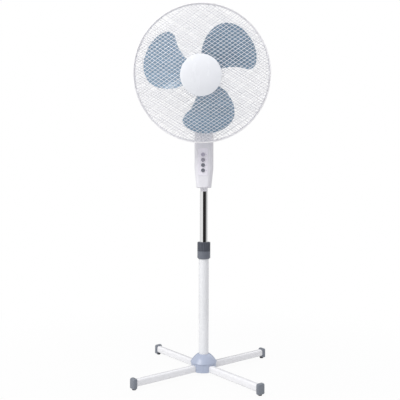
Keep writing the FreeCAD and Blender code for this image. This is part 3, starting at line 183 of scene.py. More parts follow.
def tube(verts, faces, path, radius, sides=8, ends=1.0, flare=0.0):
    """Adds a round bar along a path, its ends swelling by a share over a short flare."""
    count = len(path)
    lengths = [0.0]
    for a, b in zip(path, path[1:]):
        lengths.append(lengths[-1] + (b - a).length)
    start = len(verts)
    normal = None
    for i, point in enumerate(path):
        ahead = path[min(i + 1, count - 1)] - path[max(i - 1, 0)]
        ahead.normalize()
        if normal is None:
            normal = ahead.orthogonal().normalized()
        normal = (normal - ahead * normal.dot(ahead)).normalized()
        across = ahead.cross(normal)
        near = min(lengths[i], lengths[-1] - lengths[i])
        swell = 1.0 + (ends - 1.0) * math.exp(-((near / flare) ** 2)) if flare else 1.0
        for k in range(sides):
            a = math.tau * k / sides
            verts.append(point + (normal * math.cos(a) + across * math.sin(a)) * radius * swell)
    for i in range(count - 1):
        for k in range(sides):
            a, b = start + i * sides + k, start + i * sides + (k + 1) % sides
            faces.append((a, b, b + sides, a + sides))
    faces.append(tuple(start + k for k in reversed(range(sides))))
    last = start + (count - 1) * sides
    faces.append(tuple(last + k for k in range(sides)))


def bar(verts, faces, section, low, high, placed):
    """Adds a straight bar along X whose section is a ring of (y, z)."""
    start, count = len(verts), len(section)
    for x in (low, high):
        verts.extend(placed @ Vector((x, y, z)) for y, z in section)
    for k in range(count):
        a, b = start + k, start + (k + 1) % count
        faces.append((a, b, b + count, a + count))
    faces.append(tuple(start + k for k in reversed(range(count))))
    faces.append(tuple(start + count + k for k in range(count)))


def land_piece(verts, faces, outline, low, high, chamfer):
    """Adds a flat land over an outline, with its top edge broken."""
    start, count = len(verts), len(outline)
    middle = sum(outline, Vector((0.0, 0.0))) / count
    for height, inset in ((low, 0.0), (high - chamfer, 0.0), (high, chamfer)):
        for p in outline:
            inward = (middle - p).normalized() * inset
            verts.append((p.x + inward.x, p.y + inward.y, height))
    for row in (0, count):
        for k in range(count):
            a, b = start + row + k, start + row + (k + 1) % count
            faces.append((a, b, b + count, a + count))
    faces.append(tuple(start + k for k in reversed(range(count))))
    faces.append(tuple(start + 2 * count + k for k in range(count)))


def arc(radius, first, last, steps):
    """Points in the plane along part of a circle, between two angles in radians."""
    angles = [first + (last - first) * k / steps for k in range(steps + 1)]
    return [Vector((radius * math.cos(a), radius * math.sin(a))) for a in angles]


def turn(vector, degrees):
    """A vector turned about Z."""
    return Matrix.Rotation(math.radians(degrees), 3, "Z") @ vector


# ---------------------------------------------------------------- materials
# noise scales are in features a metre, bump depths and bevel radii in metres
BEVEL_SAMPLES = 4
CREASE_SAMPLES = 8
# painted shade: the warm greys that corners darken towards, by how enclosed they are
CREASE_SHADE_ON_PLASTIC = (0.52, 0.50, 0.47, 1.0)
CREASE_SHADE_ON_PAINT = (0.52, 0.50, 0.48, 1.0)
BLOOM = (0.22, 0.21, 0.20, 1.0)
CHIPPED = (0.36, 0.35, 0.34, 1.0)


class Shader:
    """A material under construction, with its nodes' coordinates in metres."""

    def __init__(self, name):
        self.material = bpy.data.materials.new(name)
        self.material.use_nodes = True
        self.tree = self.material.node_tree
        self.shader = self.tree.nodes["Principled BSDF"]
        self.place = self.add("ShaderNodeTexCoord").outputs["Object"]

    def add(self, kind, inputs=None, **settings):
        """A node with its properties set and its inputs given a value or a link."""
        node = self.tree.nodes.new(kind)
        for key, value in settings.items():
            setattr(node, key, value)
        for key, value in (inputs or {}).items():
            if isinstance(value, bpy.types.NodeSocket):
                self.tree.links.new(value, node.inputs[key])
            else:
                node.inputs[key].default_value = value
        return node

    def set(self, **inputs):
        """Sets or links the surface shader's own sockets."""
        for key, value in inputs.items():
            socket = self.shader.inputs[key.replace("_", " ")]
            if isinstance(value, bpy.types.NodeSocket):
                self.tree.links.new(value, socket)
            else:
                socket.default_value = value

    def stretched(self, x, y, z):
        """The object's coordinates scaled along each axis."""
        scale = {"Vector": self.place, "Scale": (x, y, z)}
        return self.add("ShaderNodeMapping", scale).outputs["Vector"]

    def noise(self, scale, detail=3.0, vector=None, rough=0.5):
        """Smooth noise from 0 to 1, scale in features a metre."""
        inputs = {
            "Vector": vector or self.place,
            "Scale": scale,
            "Detail": detail,
            "Roughness": rough,
        }
        return self.add("ShaderNodeTexNoise", inputs).outputs["Fac"]

    def spread(self, value, low, high, to_low=0.0, to_high=1.0):
        """A value's range mapped smoothly to another."""
        inputs = {
            "Value": value,
            "From Min": low,
            "From Max": high,
            "To Min": to_low,
            "To Max": to_high,
        }
        node = self.add("ShaderNodeMapRange", inputs, interpolation_type="SMOOTHSTEP")
        return node.outputs["Result"]

    def spread_evenly(self, value, low, high):
        """A value's range mapped in a straight line to 0 to 1."""
        inputs = {"Value": value, "From Min": low, "From Max": high}
        return self.add("ShaderNodeMapRange", inputs).outputs["Result"]

    def blend(self, share, first, second):
        """Two colours mixed by a share."""
        node = self.add("ShaderNodeMix", data_type="RGBA")
        for socket, value in ((0, share), (6, first), (7, second)):
            if isinstance(value, bpy.types.NodeSocket):
                self.tree.links.new(value, node.inputs[socket])
            else:
                node.inputs[socket].default_value = value
        return node.outputs[2]

    def maths(self, operation, first, second):
        """One arithmetic step."""
        return self.add(
            "ShaderNodeMath", {0: first, 1: second}, operation=operation
        ).outputs[0]

    def bump(self, height, distance, normal=None, strength=1.0):
        """A normal that follows a height, distance in metres."""
        inputs = {"Height": height, "Distance": distance, "Strength": strength}
        if normal is not None:
            inputs["Normal"] = normal
        return self.add("ShaderNodeBump", inputs).outputs["Normal"]

    def softened(self, radius):
        """The surface's normal with its edges eased over a radius."""
        node = self.add("ShaderNodeBevel", {"Radius": radius}, samples=BEVEL_SAMPLES)
        return node.outputs["Normal"]

    def edges(self, eased, low, high):
        """1 along edges, where the eased normal leaves the true one, and 0 on the open face."""
        facing = self.add("ShaderNodeNewGeometry").outputs["Normal"]
        along = self.add("ShaderNodeVectorMath", {0: eased, 1: facing}, operation="DOT_PRODUCT")
        return self.spread(along.outputs["Value"], low, high, 1.0, 0.0)

    def creases(self, reach):
        """1 in the open and less in corners within reach."""
        settings = {"samples": CREASE_SAMPLES, "only_local": True}
        node = self.add("ShaderNodeAmbientOcclusion", {"Distance": reach}, **settings)
        return node.outputs["AO"]


def rgb(r, g, b):
    """A colour from display values of 0 to 255."""

    def linear(v):
        """The sRGB curve undone."""
        v /= 255.0
        return v / 12.92 if v <= 0.04045 else ((v + 0.055) / 1.055) ** 2.4

    return (linear(r), linear(g), linear(b), 1.0)


def shade(colour, factor):
    """A colour made darker or lighter by a factor."""
    return tuple(min(1.0, c * factor) for c in colour[:3]) + (1.0,)


def plastic(
    name, colour, low, high, grain=1500.0, depth=0.00002, worn=1.06, crease_shade=0.2, sink=0.0001
):
    """Moulded plastic: fine spark-eroded grain, slow flow marks, painted shade in corners, rubbed edges.

    Roughness runs from low to high; worn brightens the rubbed edges, crease_shade sets how dark the painted shade
    in corners gets, and sink is the waviness.
    """
    s = Shader(name)
    flow = s.noise(9.0, 4.0)
    cloud = s.blend(s.spread(flow, 0.3, 0.7), shade(colour, 0.975), shade(colour, 1.015))
    specks = s.spread(s.noise(520.0, 2.0), 0.72, 0.80)
    cloud = s.blend(s.maths("MULTIPLY", specks, 0.08), cloud, shade(colour, 0.72))
    # painted shade: the colour darkens towards a warm grey in corners, by how enclosed they are
    dust = s.spread(s.creases(0.006), 0.3, 0.8, crease_shade, 0.0)
    cloud = s.blend(dust, cloud, CREASE_SHADE_ON_PLASTIC)
    eased = s.softened(0.0005)
    rim = s.edges(eased, 0.90, 0.995)
    rubbed = s.maths("MULTIPLY", rim, s.spread(s.noise(60.0, 5.0), 0.42, 0.62))
    s.set(Base_Color=s.blend(s.maths("MULTIPLY", rubbed, 0.5), cloud, shade(colour, worn)))
    wipes = s.noise(35.0, 6.0, s.stretched(1.0, 1.0, 0.25), 0.65)
    hairs = s.spread(s.noise(700.0, 2.0, s.stretched(0.03, 1.0, 1.0)), 0.70, 0.78, 0.0, 0.12)
    s.set(Roughness=s.maths("ADD", s.spread(wipes, 0.3, 0.7, low, high), hairs))
    fine = s.bump(s.noise(grain, 2.0), depth, eased)
    s.set(Normal=s.bump(s.noise(28.0, 1.0), sink, fine, 0.5))
    s.set(IOR=1.49)
    return s.material


def enamel(name, colour, low, high, peel=260.0, depth=0.000012):
    """Sprayed and baked paint on steel: orange peel, hair scratches, small chips at edges."""
    s = Shader(name)
    flow = s.spread(s.noise(7.0, 4.0), 0.3, 0.7)
    cloud = s.blend(flow, shade(colour, 0.98), shade(colour, 1.01))
    eased = s.softened(0.0006)
    rim = s.edges(eased, 0.85, 0.97)
    chip = s.maths("MULTIPLY", rim, s.spread(s.noise(90.0, 5.0), 0.62, 0.66))
    # painted shade: the colour darkens towards a warm grey in corners, by how enclosed they are
    dust = s.spread(s.creases(0.008), 0.25, 0.75, 0.2, 0.0)
    cloud = s.blend(dust, cloud, CREASE_SHADE_ON_PAINT)
    s.set(Base_Color=s.blend(s.maths("MULTIPLY", chip, 0.7), cloud, CHIPPED))
    hairs = s.spread(s.noise(900.0, 2.0, s.stretched(1.0, 1.0, 0.02)), 0.72, 0.80, 0.0, 0.06)
    wipes = s.spread(s.noise(24.0, 5.0), 0.3, 0.7, low, high)
    s.set(Roughness=s.maths("ADD", wipes, hairs))
    fine = s.bump(s.noise(peel, 2.0), depth, eased)
    s.set(Normal=s.bump(s.noise(1800.0, 1.0), 0.000003, fine))
    s.set(IOR=1.5, Coat_Weight=0.3, Coat_Roughness=0.1)
    return s.material


def metal(
    name,
    colour,
    low,
    high,
    brushed=(1.0, 1.0, 1.0),
    scale=700.0,
    depth=0.000008,
    tarnish=0.15,
):
    """Bare or plated metal: brushed hairlines, smudges and a little tarnish."""
    s = Shader(name)
    smudge = s.noise(30.0, 5.0)
    stain = s.spread(s.noise(55.0, 6.0, rough=0.7), 0.52, 0.72)
    s.set(Base_Color=s.blend(s.maths("MULTIPLY", stain, tarnish), colour, shade(colour, 0.55)))
    lines = s.noise(scale, 3.0, s.stretched(*brushed))
    rough = s.spread(smudge, 0.3, 0.7, low, high)
    s.set(Roughness=s.maths("ADD", rough, s.maths("MULTIPLY", lines, (high - low) * 0.6)))
    s.set(Metallic=1.0, Normal=s.bump(lines, depth, s.softened(0.0004)))
    return s.material


def rubber(name, colour):
    """Moulded rubber with a bloom of pale dust."""
    s = Shader(name)
    bloom = s.spread(s.noise(120.0, 6.0, rough=0.7), 0.45, 0.8)
    s.set(Base_Color=s.blend(s.maths("MULTIPLY", bloom, 0.3), colour, BLOOM))
    s.set(Roughness=s.spread(bloom, 0.0, 1.0, 0.55, 0.85))
    s.set(Normal=s.bump(s.noise(2200.0, 2.0), 0.00003, s.softened(0.0008)))
    return s.material


def windings(name):
    """Lacquered copper turns laid side by side round the coil."""
    s = Shader(name)
    wave = {"Vector": s.place, "Scale": 420.0, "Distortion": 3.0}
    turns = s.add("ShaderNodeTexWave", wave, bands_direction="Z").outputs["Fac"]
    s.set(Base_Color=s.blend(turns, rgb(112, 52, 24), rgb(196, 116, 66)), Metallic=1.0)
    s.set(Roughness=s.spread(turns, 0.0, 1.0, 0.45, 0.25), Coat_Weight=0.5)
    s.set(Normal=s.bump(turns, 0.0003))
    return s.material


def laminations(name):
    """The edges of stacked sheets."""
    s = Shader(name)
    stack = {"Vector": s.place, "Scale": 320.0, "Distortion": 0.4}
    sheets = s.add("ShaderNodeTexWave", stack, bands_direction="Y").outputs["Fac"]
    s.set(Base_Color=s.blend(sheets, rgb(52, 52, 56), rgb(120, 120, 124)), Metallic=1.0)
    s.set(Roughness=s.spread(s.noise(90.0, 4.0), 0.3, 0.7, 0.35, 0.6))
    s.set(Normal=s.bump(sheets, 0.0001))
    return s.material


def blade_plastic(name, colour):
    """Tinted styrene: a little light comes through, with flow lines out from the hub."""
    s = Shader(name)
    streak = s.noise(14.0, 4.0, s.stretched(1.0, 1.0, 3.0), 0.6)
    cloud = s.blend(s.spread(streak, 0.35, 0.65), shade(colour, 0.95), shade(colour, 1.05))
    dust = s.spread(s.noise(260.0, 3.0, rough=0.7), 0.62, 0.78)
    s.set(Base_Color=s.blend(s.maths("MULTIPLY", dust, 0.08), cloud, rgb(214, 214, 214)))
    s.set(Roughness=s.spread(s.noise(40.0, 5.0), 0.3, 0.7, 0.24, 0.38))
    s.set(Normal=s.bump(s.noise(22.0, 1.0), 0.0002, s.bump(s.noise(1600.0, 1.0), 0.000006)))
    s.set(Subsurface_Weight=0.12, Subsurface_Radius=(0.004, 0.005, 0.006), Subsurface_Scale=1.0)
    s.set(IOR=1.57, Coat_Weight=0.6, Coat_Roughness=0.12)
    return s.material


COARSE_GRAIN = {"grain": 1200.0, "depth": 0.00004}
BUTTON_FINISH = {"low": 0.3, "high": 0.42, "crease_shade": 0.1}
CHROME_FINISH = {
    "brushed": (1.0, 1.0, 0.01),
    "scale": 1500.0,
    "depth": 0.0000008,
    "tarnish": 0.03,
}
BADGE_FINISH = {"grain": 2400.0, "depth": 0.000006, "sink": 0.00002}
MATERIALS = {
    "white_plastic": plastic("white_plastic", rgb(232, 231, 236), 0.30, 0.42),
    "badge_white": plastic("badge_white", rgb(246, 248, 252), 0.25, 0.28, **BADGE_FINISH),
    "ring_white": plastic("ring_white", rgb(250, 249, 250), 0.28, 0.40),
    "panel_plastic": plastic("panel_plastic", rgb(239, 236, 244), 0.34, 0.48, 2000.0),
    "guard_white": enamel("guard_white", rgb(250, 249, 252), 0.24, 0.36, 900.0, 0.000008),
    "tube_white": enamel("tube_white", rgb(238, 239, 241), 0.18, 0.30),
    # painted light: the same enamel as the pole, made lighter so that the rails look as brightly lit as the legs
    "rail_lit_white": enamel("rail_lit_white", rgb(245, 245, 247), 0.18, 0.30),
    "blade_blue": blade_plastic("blade_blue", rgb(136, 163, 185)),
    "hub_blue": plastic("hub_blue", rgb(177, 186, 206), 0.24, 0.36),
    "slate_plastic": plastic(
        "slate_plastic", rgb(76, 80, 90), 0.36, 0.5, worn=1.5, crease_shade=0.08, **COARSE_GRAIN
    ),
    "slate_middle": plastic(
        "slate_middle", rgb(108, 112, 122), 0.36, 0.5, worn=1.4, crease_shade=0.1, **COARSE_GRAIN
    ),
    "slate_light": plastic(
        "slate_light", rgb(124, 129, 138), 0.26, 0.4, worn=1.3, crease_shade=0.12, **COARSE_GRAIN
    ),
    "button_dark": plastic("button_dark", rgb(114, 117, 126), worn=1.2, **BUTTON_FINISH),
    "button_grey": plastic("button_grey", rgb(152, 150, 162), worn=1.2, **BUTTON_FINISH),
    "button_pale": plastic("button_pale", rgb(176, 172, 188), worn=1.15, **BUTTON_FINISH),
    "chrome": metal("chrome", (0.93, 0.93, 0.94, 1.0), 0.02, 0.05, **CHROME_FINISH),
    "black_rubber": rubber("black_rubber", rgb(38, 38, 41)),
    "zinc_steel": metal("zinc_steel", rgb(196, 196, 190), 0.28, 0.42),
    "cast_alloy": metal("cast_alloy", rgb(176, 178, 180), 0.45, 0.6, scale=500.0, depth=0.00006),
    "lamination": laminations("lamination"),
    "copper": windings("copper"),
    "bronze": metal("bronze", rgb(184, 144, 92), 0.35, 0.5),
    "nylon": plastic("nylon", rgb(232, 226, 208), 0.35, 0.5),
}

# the pieces given a lighter or darker copy of their slot's material; the base rails' lighter copy of the pole's
# enamel is painted light
SHADES = {
    "height_collar": "slate_middle",
    "guard_ring": "ring_white",
    "badge": "badge_white",
    "base_rail_lower": "rail_lit_white",
    "base_rail_upper": "rail_lit_white",
}
CAD_CREASE = 35.0  # sharper edges of the CAD's meshes stay sharp
slot_of = {entry["node"]: entry["material_slot"] for entry in record["subparts"]}
for name, thing in nodes.items():
    thing.data.materials.clear()
    thing.data.materials.append(MATERIALS[SHADES.get(name, slot_of[name])])
    thing.data.shade_smooth()
    thing.data.set_sharp_from_angle(angle=math.radians(CAD_CREASE))

# ---------------------------------------------------------------- guards
MESH_ANGLE = 33.2  # each family of wires runs this far from level, as in the CAD
FRONT_PITCH = 0.0096
REAR_PITCH = 0.0072  # half the CAD's, so that every second wire stands where the CAD has one
MESH_MARGIN = 0.012  # the outermost wires stay this far inside the hoop's middle
WIRE = 0.0014
WIRE_SIDES = 8
WIRE_RUN = 0.014  # the longest straight run of a bent wire
FEWEST_RUNS = 6
WELD_SWELL = 1.5  # a wire's thickness where it meets the hoop, against the rest
WELD_FLARE = 0.0016
LAYER_GAP = 0.0011  # clear space between the two crossed layers of wires
SPREAD = (WIRE + LAYER_GAP) / 2
HALF_MESH = WIRE + LAYER_GAP / 2  # from the middle surface to the outside of a layer
HOOP_THICK = 0.0042
HOOP_WIDE = 0.005
HOOP_SIDES = 12
BOWL_INSET = 0.0016  # the rear wires end this far inside the hoop's middle
PLATE_BORE = 0.0151
PLATE_SEAT = 0.036
PLATE_EDGE = 0.060
PLATE_LAP = 0.002  # how far the rear wires run in over the plate
PLATE_BEND = 0.006  # from the end of the plate's dish to its edge


def crossed(pitch, edge, height, start=0.0):
    """Both layers of crossed wires over a surface of revolution, from a start radius out."""
    verts, faces = [], []
    count = int((edge - MESH_MARGIN) // pitch)
    for lift, angle in ((SPREAD, MESH_ANGLE), (-SPREAD, -MESH_ANGLE)):
        for i in range(-count, count + 1):
            offset = i * pitch
            reach = math.sqrt(edge**2 - offset**2)
            runs = [(-reach, reach)]
            if abs(offset) < start:
                inner = math.sqrt(start**2 - offset**2)
                runs = [(-reach, -inner), (inner, reach)]
            for low, high in runs:
                steps = max(FEWEST_RUNS, int((high - low) / WIRE_RUN))
                path = []
                first, last = math.asin(low / reach), math.asin(high / reach)
                for k in range(steps + 1):
                    across = reach * math.sin(first + (last - first) * k / steps)
                    radius = math.hypot(across, offset)
                    path.append(turn(Vector((across, offset, height(radius, lift))), angle))
                tube(verts, faces, path, WIRE / 2, WIRE_SIDES, WELD_SWELL, WELD_FLARE)
    return verts, faces


hoop_outer, front_low, front_high = extent("front_guard", fan)
hoop_middle = hoop_outer - HOOP_THICK / 2
front_base = front_low + HOOP_WIDE / 2
dome_depth = front_high - front_base - SPREAD - WIRE / 2
sphere = (hoop_middle**2 + dome_depth**2) / (2 * dome_depth)


def dome(radius, lift):
    """Station of the front guard's domed surface."""
    return front_base + dome_depth - sphere + math.sqrt((sphere + lift) ** 2 - radius**2)


def hoop(name, station):
    """The round bar that a guard's wires end on."""
    section = []
    for k in range(HOOP_SIDES):
        a = math.tau * k / HOOP_SIDES
        out, up = HOOP_THICK / 2 * math.cos(a), HOOP_THICK / 2 * math.sin(a)
        section.append((hoop_middle + out, station + up))
    return settle(lathe(name, section, fan, 256, True), "head", "guard_white")


verts, faces = crossed(FRONT_PITCH, hoop_middle, dome)
settle(piece("front_mesh", verts, faces, fan), "head", "guard_white", ("front_guard",))
hoop("front_hoop", front_base)

_, rear_low, rear_high = extent("rear_guard", fan)
rear_base = rear_high - HOOP_WIDE / 2
bowl_edge = hoop_middle - BOWL_INSET
bowl_depth = rear_base - rear_low - SPREAD - WIRE / 2


def bowl(radius, lift):
    """Station of the rear guard's bowl."""
    return rear_base - (bowl_depth + lift) * math.sqrt(max(0.0, 1 - (radius / bowl_edge) ** 2))


verts, faces = crossed(REAR_PITCH, bowl_edge, bowl, PLATE_EDGE - PLATE_LAP)
settle(piece("rear_mesh", verts, faces, fan), "head", "guard_white", ("rear_guard",))
hoop("rear_hoop", rear_base)

# the plate that the rear guard bolts on by, dished between its flat seat and its rim
plate_mid = rear_low + HALF_MESH
plate_rim = bowl(PLATE_EDGE, 0.0)
plate = [
    (PLATE_BORE, plate_mid - HALF_MESH),
    (PLATE_SEAT, plate_mid - HALF_MESH),
    (PLATE_EDGE - PLATE_BEND, plate_rim - 0.0022),
    (PLATE_EDGE, plate_rim - 0.0012),
    (PLATE_EDGE, plate_rim + 0.0012),
    (PLATE_EDGE - PLATE_BEND, plate_rim + 0.0002),
    (PLATE_SEAT, plate_mid + HALF_MESH),
    (PLATE_BORE, plate_mid + HALF_MESH),
]
plate = rounded_loop(plate, 0.0008)
settle(lathe("rear_guard_plate", plate, fan, 128, True), "head", "guard_white")

# the channel ring round both hoops
RING_INSET = 0.0005  # inside the CAD's ring, so that the fan stays within the CAD's box
RING_WALL = 0.0016
RING_LIP = 0.0016
RING_WEB = 0.0014
RING_BEND = 0.003
ring_outer, ring_low, ring_high = extent("guard_ring", fan)
ring_outer -= RING_INSET
inner = ring_outer - RING_WALL
lip = inner - RING_LIP
web_low = ring_low + RING_WEB
web_high = ring_high - RING_WEB
section = [
    (ring_outer, (ring_low + ring_high) / 2),
    (ring_outer, ring_high),
    (lip, ring_high),
    (lip, web_high),
    (inner, web_high),
    (inner, web_low),
    (lip, web_low),
    (lip, ring_low),
    (ring_outer, ring_low),
    (ring_outer, (ring_low + ring_high) / 2),
]
outer_bend = rounded(section[:3], RING_BEND, 6)[:-1]
inner_bends = rounded(section[2:8], 0.0004, 2)[1:-1]
lower_bend = rounded(section[7:], RING_BEND, 6)[1:-1]
section = outer_bend + [section[2]] + inner_bends + [section[7]] + lower_bend
ring = lathe("rim_ring", section, fan, 320, True)
settle(ring, "head", "ring_white", ("guard_ring",))

# ---------------------------------------------------------------- badge
BADGE_STAND = 0.0003  # between the front mesh and the badge's back
BADGE_SKIRT = 0.0034  # where the crown starts, above the back's edge
BADGE_STEPS = 24
badge_radius, _, badge_high = extent("badge", fan)


def badge_back(radius):
    """Station of the badge's back over the front mesh."""
    return dome(radius, HALF_MESH) + BADGE_STAND


back = badge_back(badge_radius)
points = [
    (0.0, badge_back(0.0)),
    (badge_radius * 0.5, badge_back(badge_radius * 0.5)),
    (badge_radius - 0.0004, back),
    (badge_radius, back + 0.0006),
    (badge_radius, back + 0.0024),
]
bulge = badge_high - back - BADGE_SKIRT
for k in range(1, BADGE_STEPS + 1):
    t = k / BADGE_STEPS
    radius = (badge_radius - 0.0005) * math.cos(t * math.pi / 2) ** 0.9
    height = back + BADGE_SKIRT + bulge * (1 - (radius / badge_radius) ** 2.2)
    points.append((radius if k < BADGE_STEPS else 0.0, height))
disc = lathe("badge_disc", points, fan, 128)
settle(disc, "head", "badge_white", ("badge",))

# ---------------------------------------------------------------- blades
TIP_GAP = 0.029  # from the blades' tips to the outside of the ring
BLADE_TIP = ring_outer - TIP_GAP
BLADE_ROOT = 0.0455  # inside the hub's wall
BLADE_COUNT = 3
BLADE_ANGLE = 35.0  # where the first blade stands at rest
PITCH_LENGTH = 0.205  # advance of the blade's helix in one turn
LEAST_RADIUS = 0.02  # nearer the axis the helix gets no steeper
CAMBER = 0.007
SLAB_HALF = 0.125  # half the width that the camber bows over
STATION = 0.106  # of the blade's middle line, along the fan's axis
THICKNESS = 0.0022  # as meant; see the fault in blade_grid
EDGE_FADE = 0.0022  # the width over which the thickness fades to a round edge
TIP_EDGE = 1e-9  # the tip's own thickness, just above nothing
ROOT_SWELL = 0.7  # how much thicker the blade is at its root, and over what length
ROOT_REACH = 0.012
BLADE_ROWS, BLADE_COLUMNS = 44, 28
BLADE_CREASE = 60.0
SAME_POINT = 1e-6
# the edges as (share of the tip's radius, degrees from the blade's middle)
LEADING = (
    (0.24, -18.5),
    (0.4, -21),
    (0.51, -22.6),
    (0.62, -25.2),
    (0.73, -29.1),
    (0.8, -30.6),
    (0.86, -29.6),
    (0.91, -26.8),
    (0.95, -21),
    (0.98, -13.8),
    (1.0, -5),
)
TRAILING = (
    (0.24, 55),
    (0.46, 50.8),
    (0.565, 47.6),
    (0.67, 43.6),
    (0.78, 38.4),
    (0.89, 31.3),
    (0.95, 24.2),
    (0.98, 18),
    (1.0, 10),
)


def smooth_curve(table, x):
    """A smooth curve through a table of (x, value)."""
    last = len(table) - 1
    k = max(i for i in range(last) if table[i][0] <= x or i == 0)
    (x0, v0), (x1, v1) = table[k], table[k + 1]
    before = table[k - 1] if k else table[k]
    after = table[k + 2] if k + 2 <= last else table[k + 1]
    t = (x - x0) / (x1 - x0)
    m0 = (v1 - before[1]) / (x1 - before[0]) * (x1 - x0)
    m1 = (after[1] - v0) / (after[0] - x0) * (x1 - x0)
    a, b = 2 * t**3 - 3 * t**2 + 1, t**3 - 2 * t**2 + t
    return a * v0 + b * m0 + (3 * t**2 - 2 * t**3) * v1 + (t**3 - t**2) * m1


def blade_height(x, y):
    """Station of the blade's middle surface over a point of its own flat plan."""
    twist = math.atan2(PITCH_LENGTH, math.tau * max(x, LEAST_RADIUS))
    across = y / math.cos(twist)
    for _ in range(4):
        bow = -CAMBER * (across / SLAB_HALF) ** 2
        across = (y - bow * math.sin(twist)) / math.cos(twist)
    return STATION + across * math.sin(twist) - bow * math.cos(twist)


def blade_grid():
    """The middle surface of one blade, in rows of (point, half the thickness).

    Known fault, left as it is: lead - trail is negative, so every thickness comes out as 0
    and the blade's two faces merge into one open sheet.
    """
    root = BLADE_ROOT / BLADE_TIP
    grid = []
    for i in range(BLADE_ROWS + 1):
        share = root + (1 - root) * math.sin(i / BLADE_ROWS * math.pi / 2)
        radius = share * BLADE_TIP
        lead, trail = smooth_curve(LEADING, share), smooth_curve(TRAILING, share)
        width = radius * math.radians(lead - trail)
        swell = 1.0 + ROOT_SWELL * math.exp(-((radius - BLADE_ROOT) / ROOT_REACH) ** 2)
        line = []
        for j in range(BLADE_COLUMNS + 1):
            t = 0.5 - 0.5 * math.cos(math.pi * j / BLADE_COLUMNS)
            a = math.radians(trail + (lead - trail) * t)
            x, y = radius * math.cos(a), radius * math.sin(a)
            rim = min(width * min(t, 1 - t), (BLADE_TIP - radius) + TIP_EDGE)
            edge = min(1.0, rim / EDGE_FADE)
            thick = THICKNESS / 2 * math.sqrt(max(0.0, 1 - (1 - edge) ** 2))
            line.append((Vector((x, y, blade_height(x, y))), thick * swell))
        grid.append(line)
    return grid


def blade_mesh(verts, faces, grid, angle):
    """Adds both faces of one blade and the strip round its border."""
    rows, columns = BLADE_ROWS, BLADE_COLUMNS
    spin = Matrix.Rotation(math.radians(angle), 3, "Z")
    base = len(verts)
    layer = (rows + 1) * (columns + 1)
    for sign in (1, -1):
        for i, line in enumerate(grid):
            for j, (point, thick) in enumerate(line):
                right = grid[i][min(j + 1, columns)][0] - grid[i][max(j - 1, 0)][0]
                out = grid[min(i + 1, rows)][j][0] - grid[max(i - 1, 0)][j][0]
                normal = out.cross(right).normalized()
                verts.append(spin @ (point + normal * thick * sign))
    for i in range(rows):
        for j in range(columns):
            a = base + i * (columns + 1) + j
            quad = (a, a + columns + 1, a + columns + 2, a + 1)
            faces.append(quad)
            faces.append(tuple(v + layer for v in reversed(quad)))
    border = [(0, j) for j in range(columns + 1)]
    border += [(i, columns) for i in range(1, rows + 1)]
    border += [(rows, j) for j in range(columns - 1, -1, -1)]
    border += [(i, 0) for i in range(rows - 1, 0, -1)]
    index = [base + i * (columns + 1) + j for i, j in border]
    for a, b in zip(index, index[1:] + index[:1]):
        faces.append((a, b, b + layer, a + layer))


verts, faces = [], []
grid = blade_grid()
for k in range(BLADE_COUNT):
    blade_mesh(verts, faces, grid, BLADE_ANGLE + 360 / BLADE_COUNT * k)
blades = piece("blades", verts, faces, fan)
work = bmesh.new()
work.from_mesh(blades.data)
bmesh.ops.remove_doubles(work, verts=work.verts, dist=SAME_POINT)
bmesh.ops.recalc_face_normals(work, faces=work.faces)
work.to_mesh(blades.data)
work.free()
blades.data.set_sharp_from_angle(angle=math.radians(BLADE_CREASE))
settle(blades, "rotor", "blade_blue", ("fan_blade",))

# the cup that carries the blades, with the boss on the shaft and the ribs between them
SHAFT_BORE = 0.0041
HUB = 0.047
HUB_FRONT = 0.128
HUB_REAR = 0.088
HUB_WALL = 0.0025
HUB_BEVEL = 0.006
BOSS = 0.011
RIB_COUNT = 6
RIB_HALF = 0.001
cup = [
    (SHAFT_BORE, HUB_FRONT - HUB_WALL),
    (HUB - HUB_WALL, HUB_FRONT - HUB_WALL - 0.004),
    (HUB - HUB_WALL, HUB_REAR),
    (HUB, HUB_REAR),
    (HUB, HUB_FRONT - HUB_BEVEL),
    (HUB - HUB_BEVEL, HUB_FRONT),
    (SHAFT_BORE, HUB_FRONT),
]
cup = rounded_loop(cup, 0.0012, 3)
settle(lathe("blade_hub", cup, fan, 128, True), "rotor", "blade_blue")
boss_low = HUB_REAR + 0.004
boss_high = HUB_FRONT - 0.001
boss = [(SHAFT_BORE, boss_low), (BOSS, boss_low), (BOSS, boss_high), (SHAFT_BORE, boss_high)]
boss = rounded_loop(boss, 0.0006, 3)
settle(lathe("blade_boss", boss, fan, 96, True), "rotor", "blade_blue")

verts, faces = [], []
rib_low = HUB_REAR + 0.012
rib = [
    (-RIB_HALF, HUB_FRONT - HUB_WALL),
    (-0.0009, rib_low + 0.0004),
    (-0.0005, rib_low),
    (0.0005, rib_low),
    (0.0009, rib_low + 0.0004),
    (RIB_HALF, HUB_FRONT - HUB_WALL),
]
for k in range(RIB_COUNT):
    round_hub = Matrix.Rotation(math.tau * k / RIB_COUNT, 4, "Z")
    bar(verts, faces, rib, BOSS - 0.0005, HUB - 0.001, round_hub)
settle(piece("blade_hub_ribs", verts, faces, fan, False), "rotor", "blade_blue")

# ---------------------------------------------------------------- buttons
BUTTON_RADIUS = 0.006
BUTTON_FLANGE = 0.0074
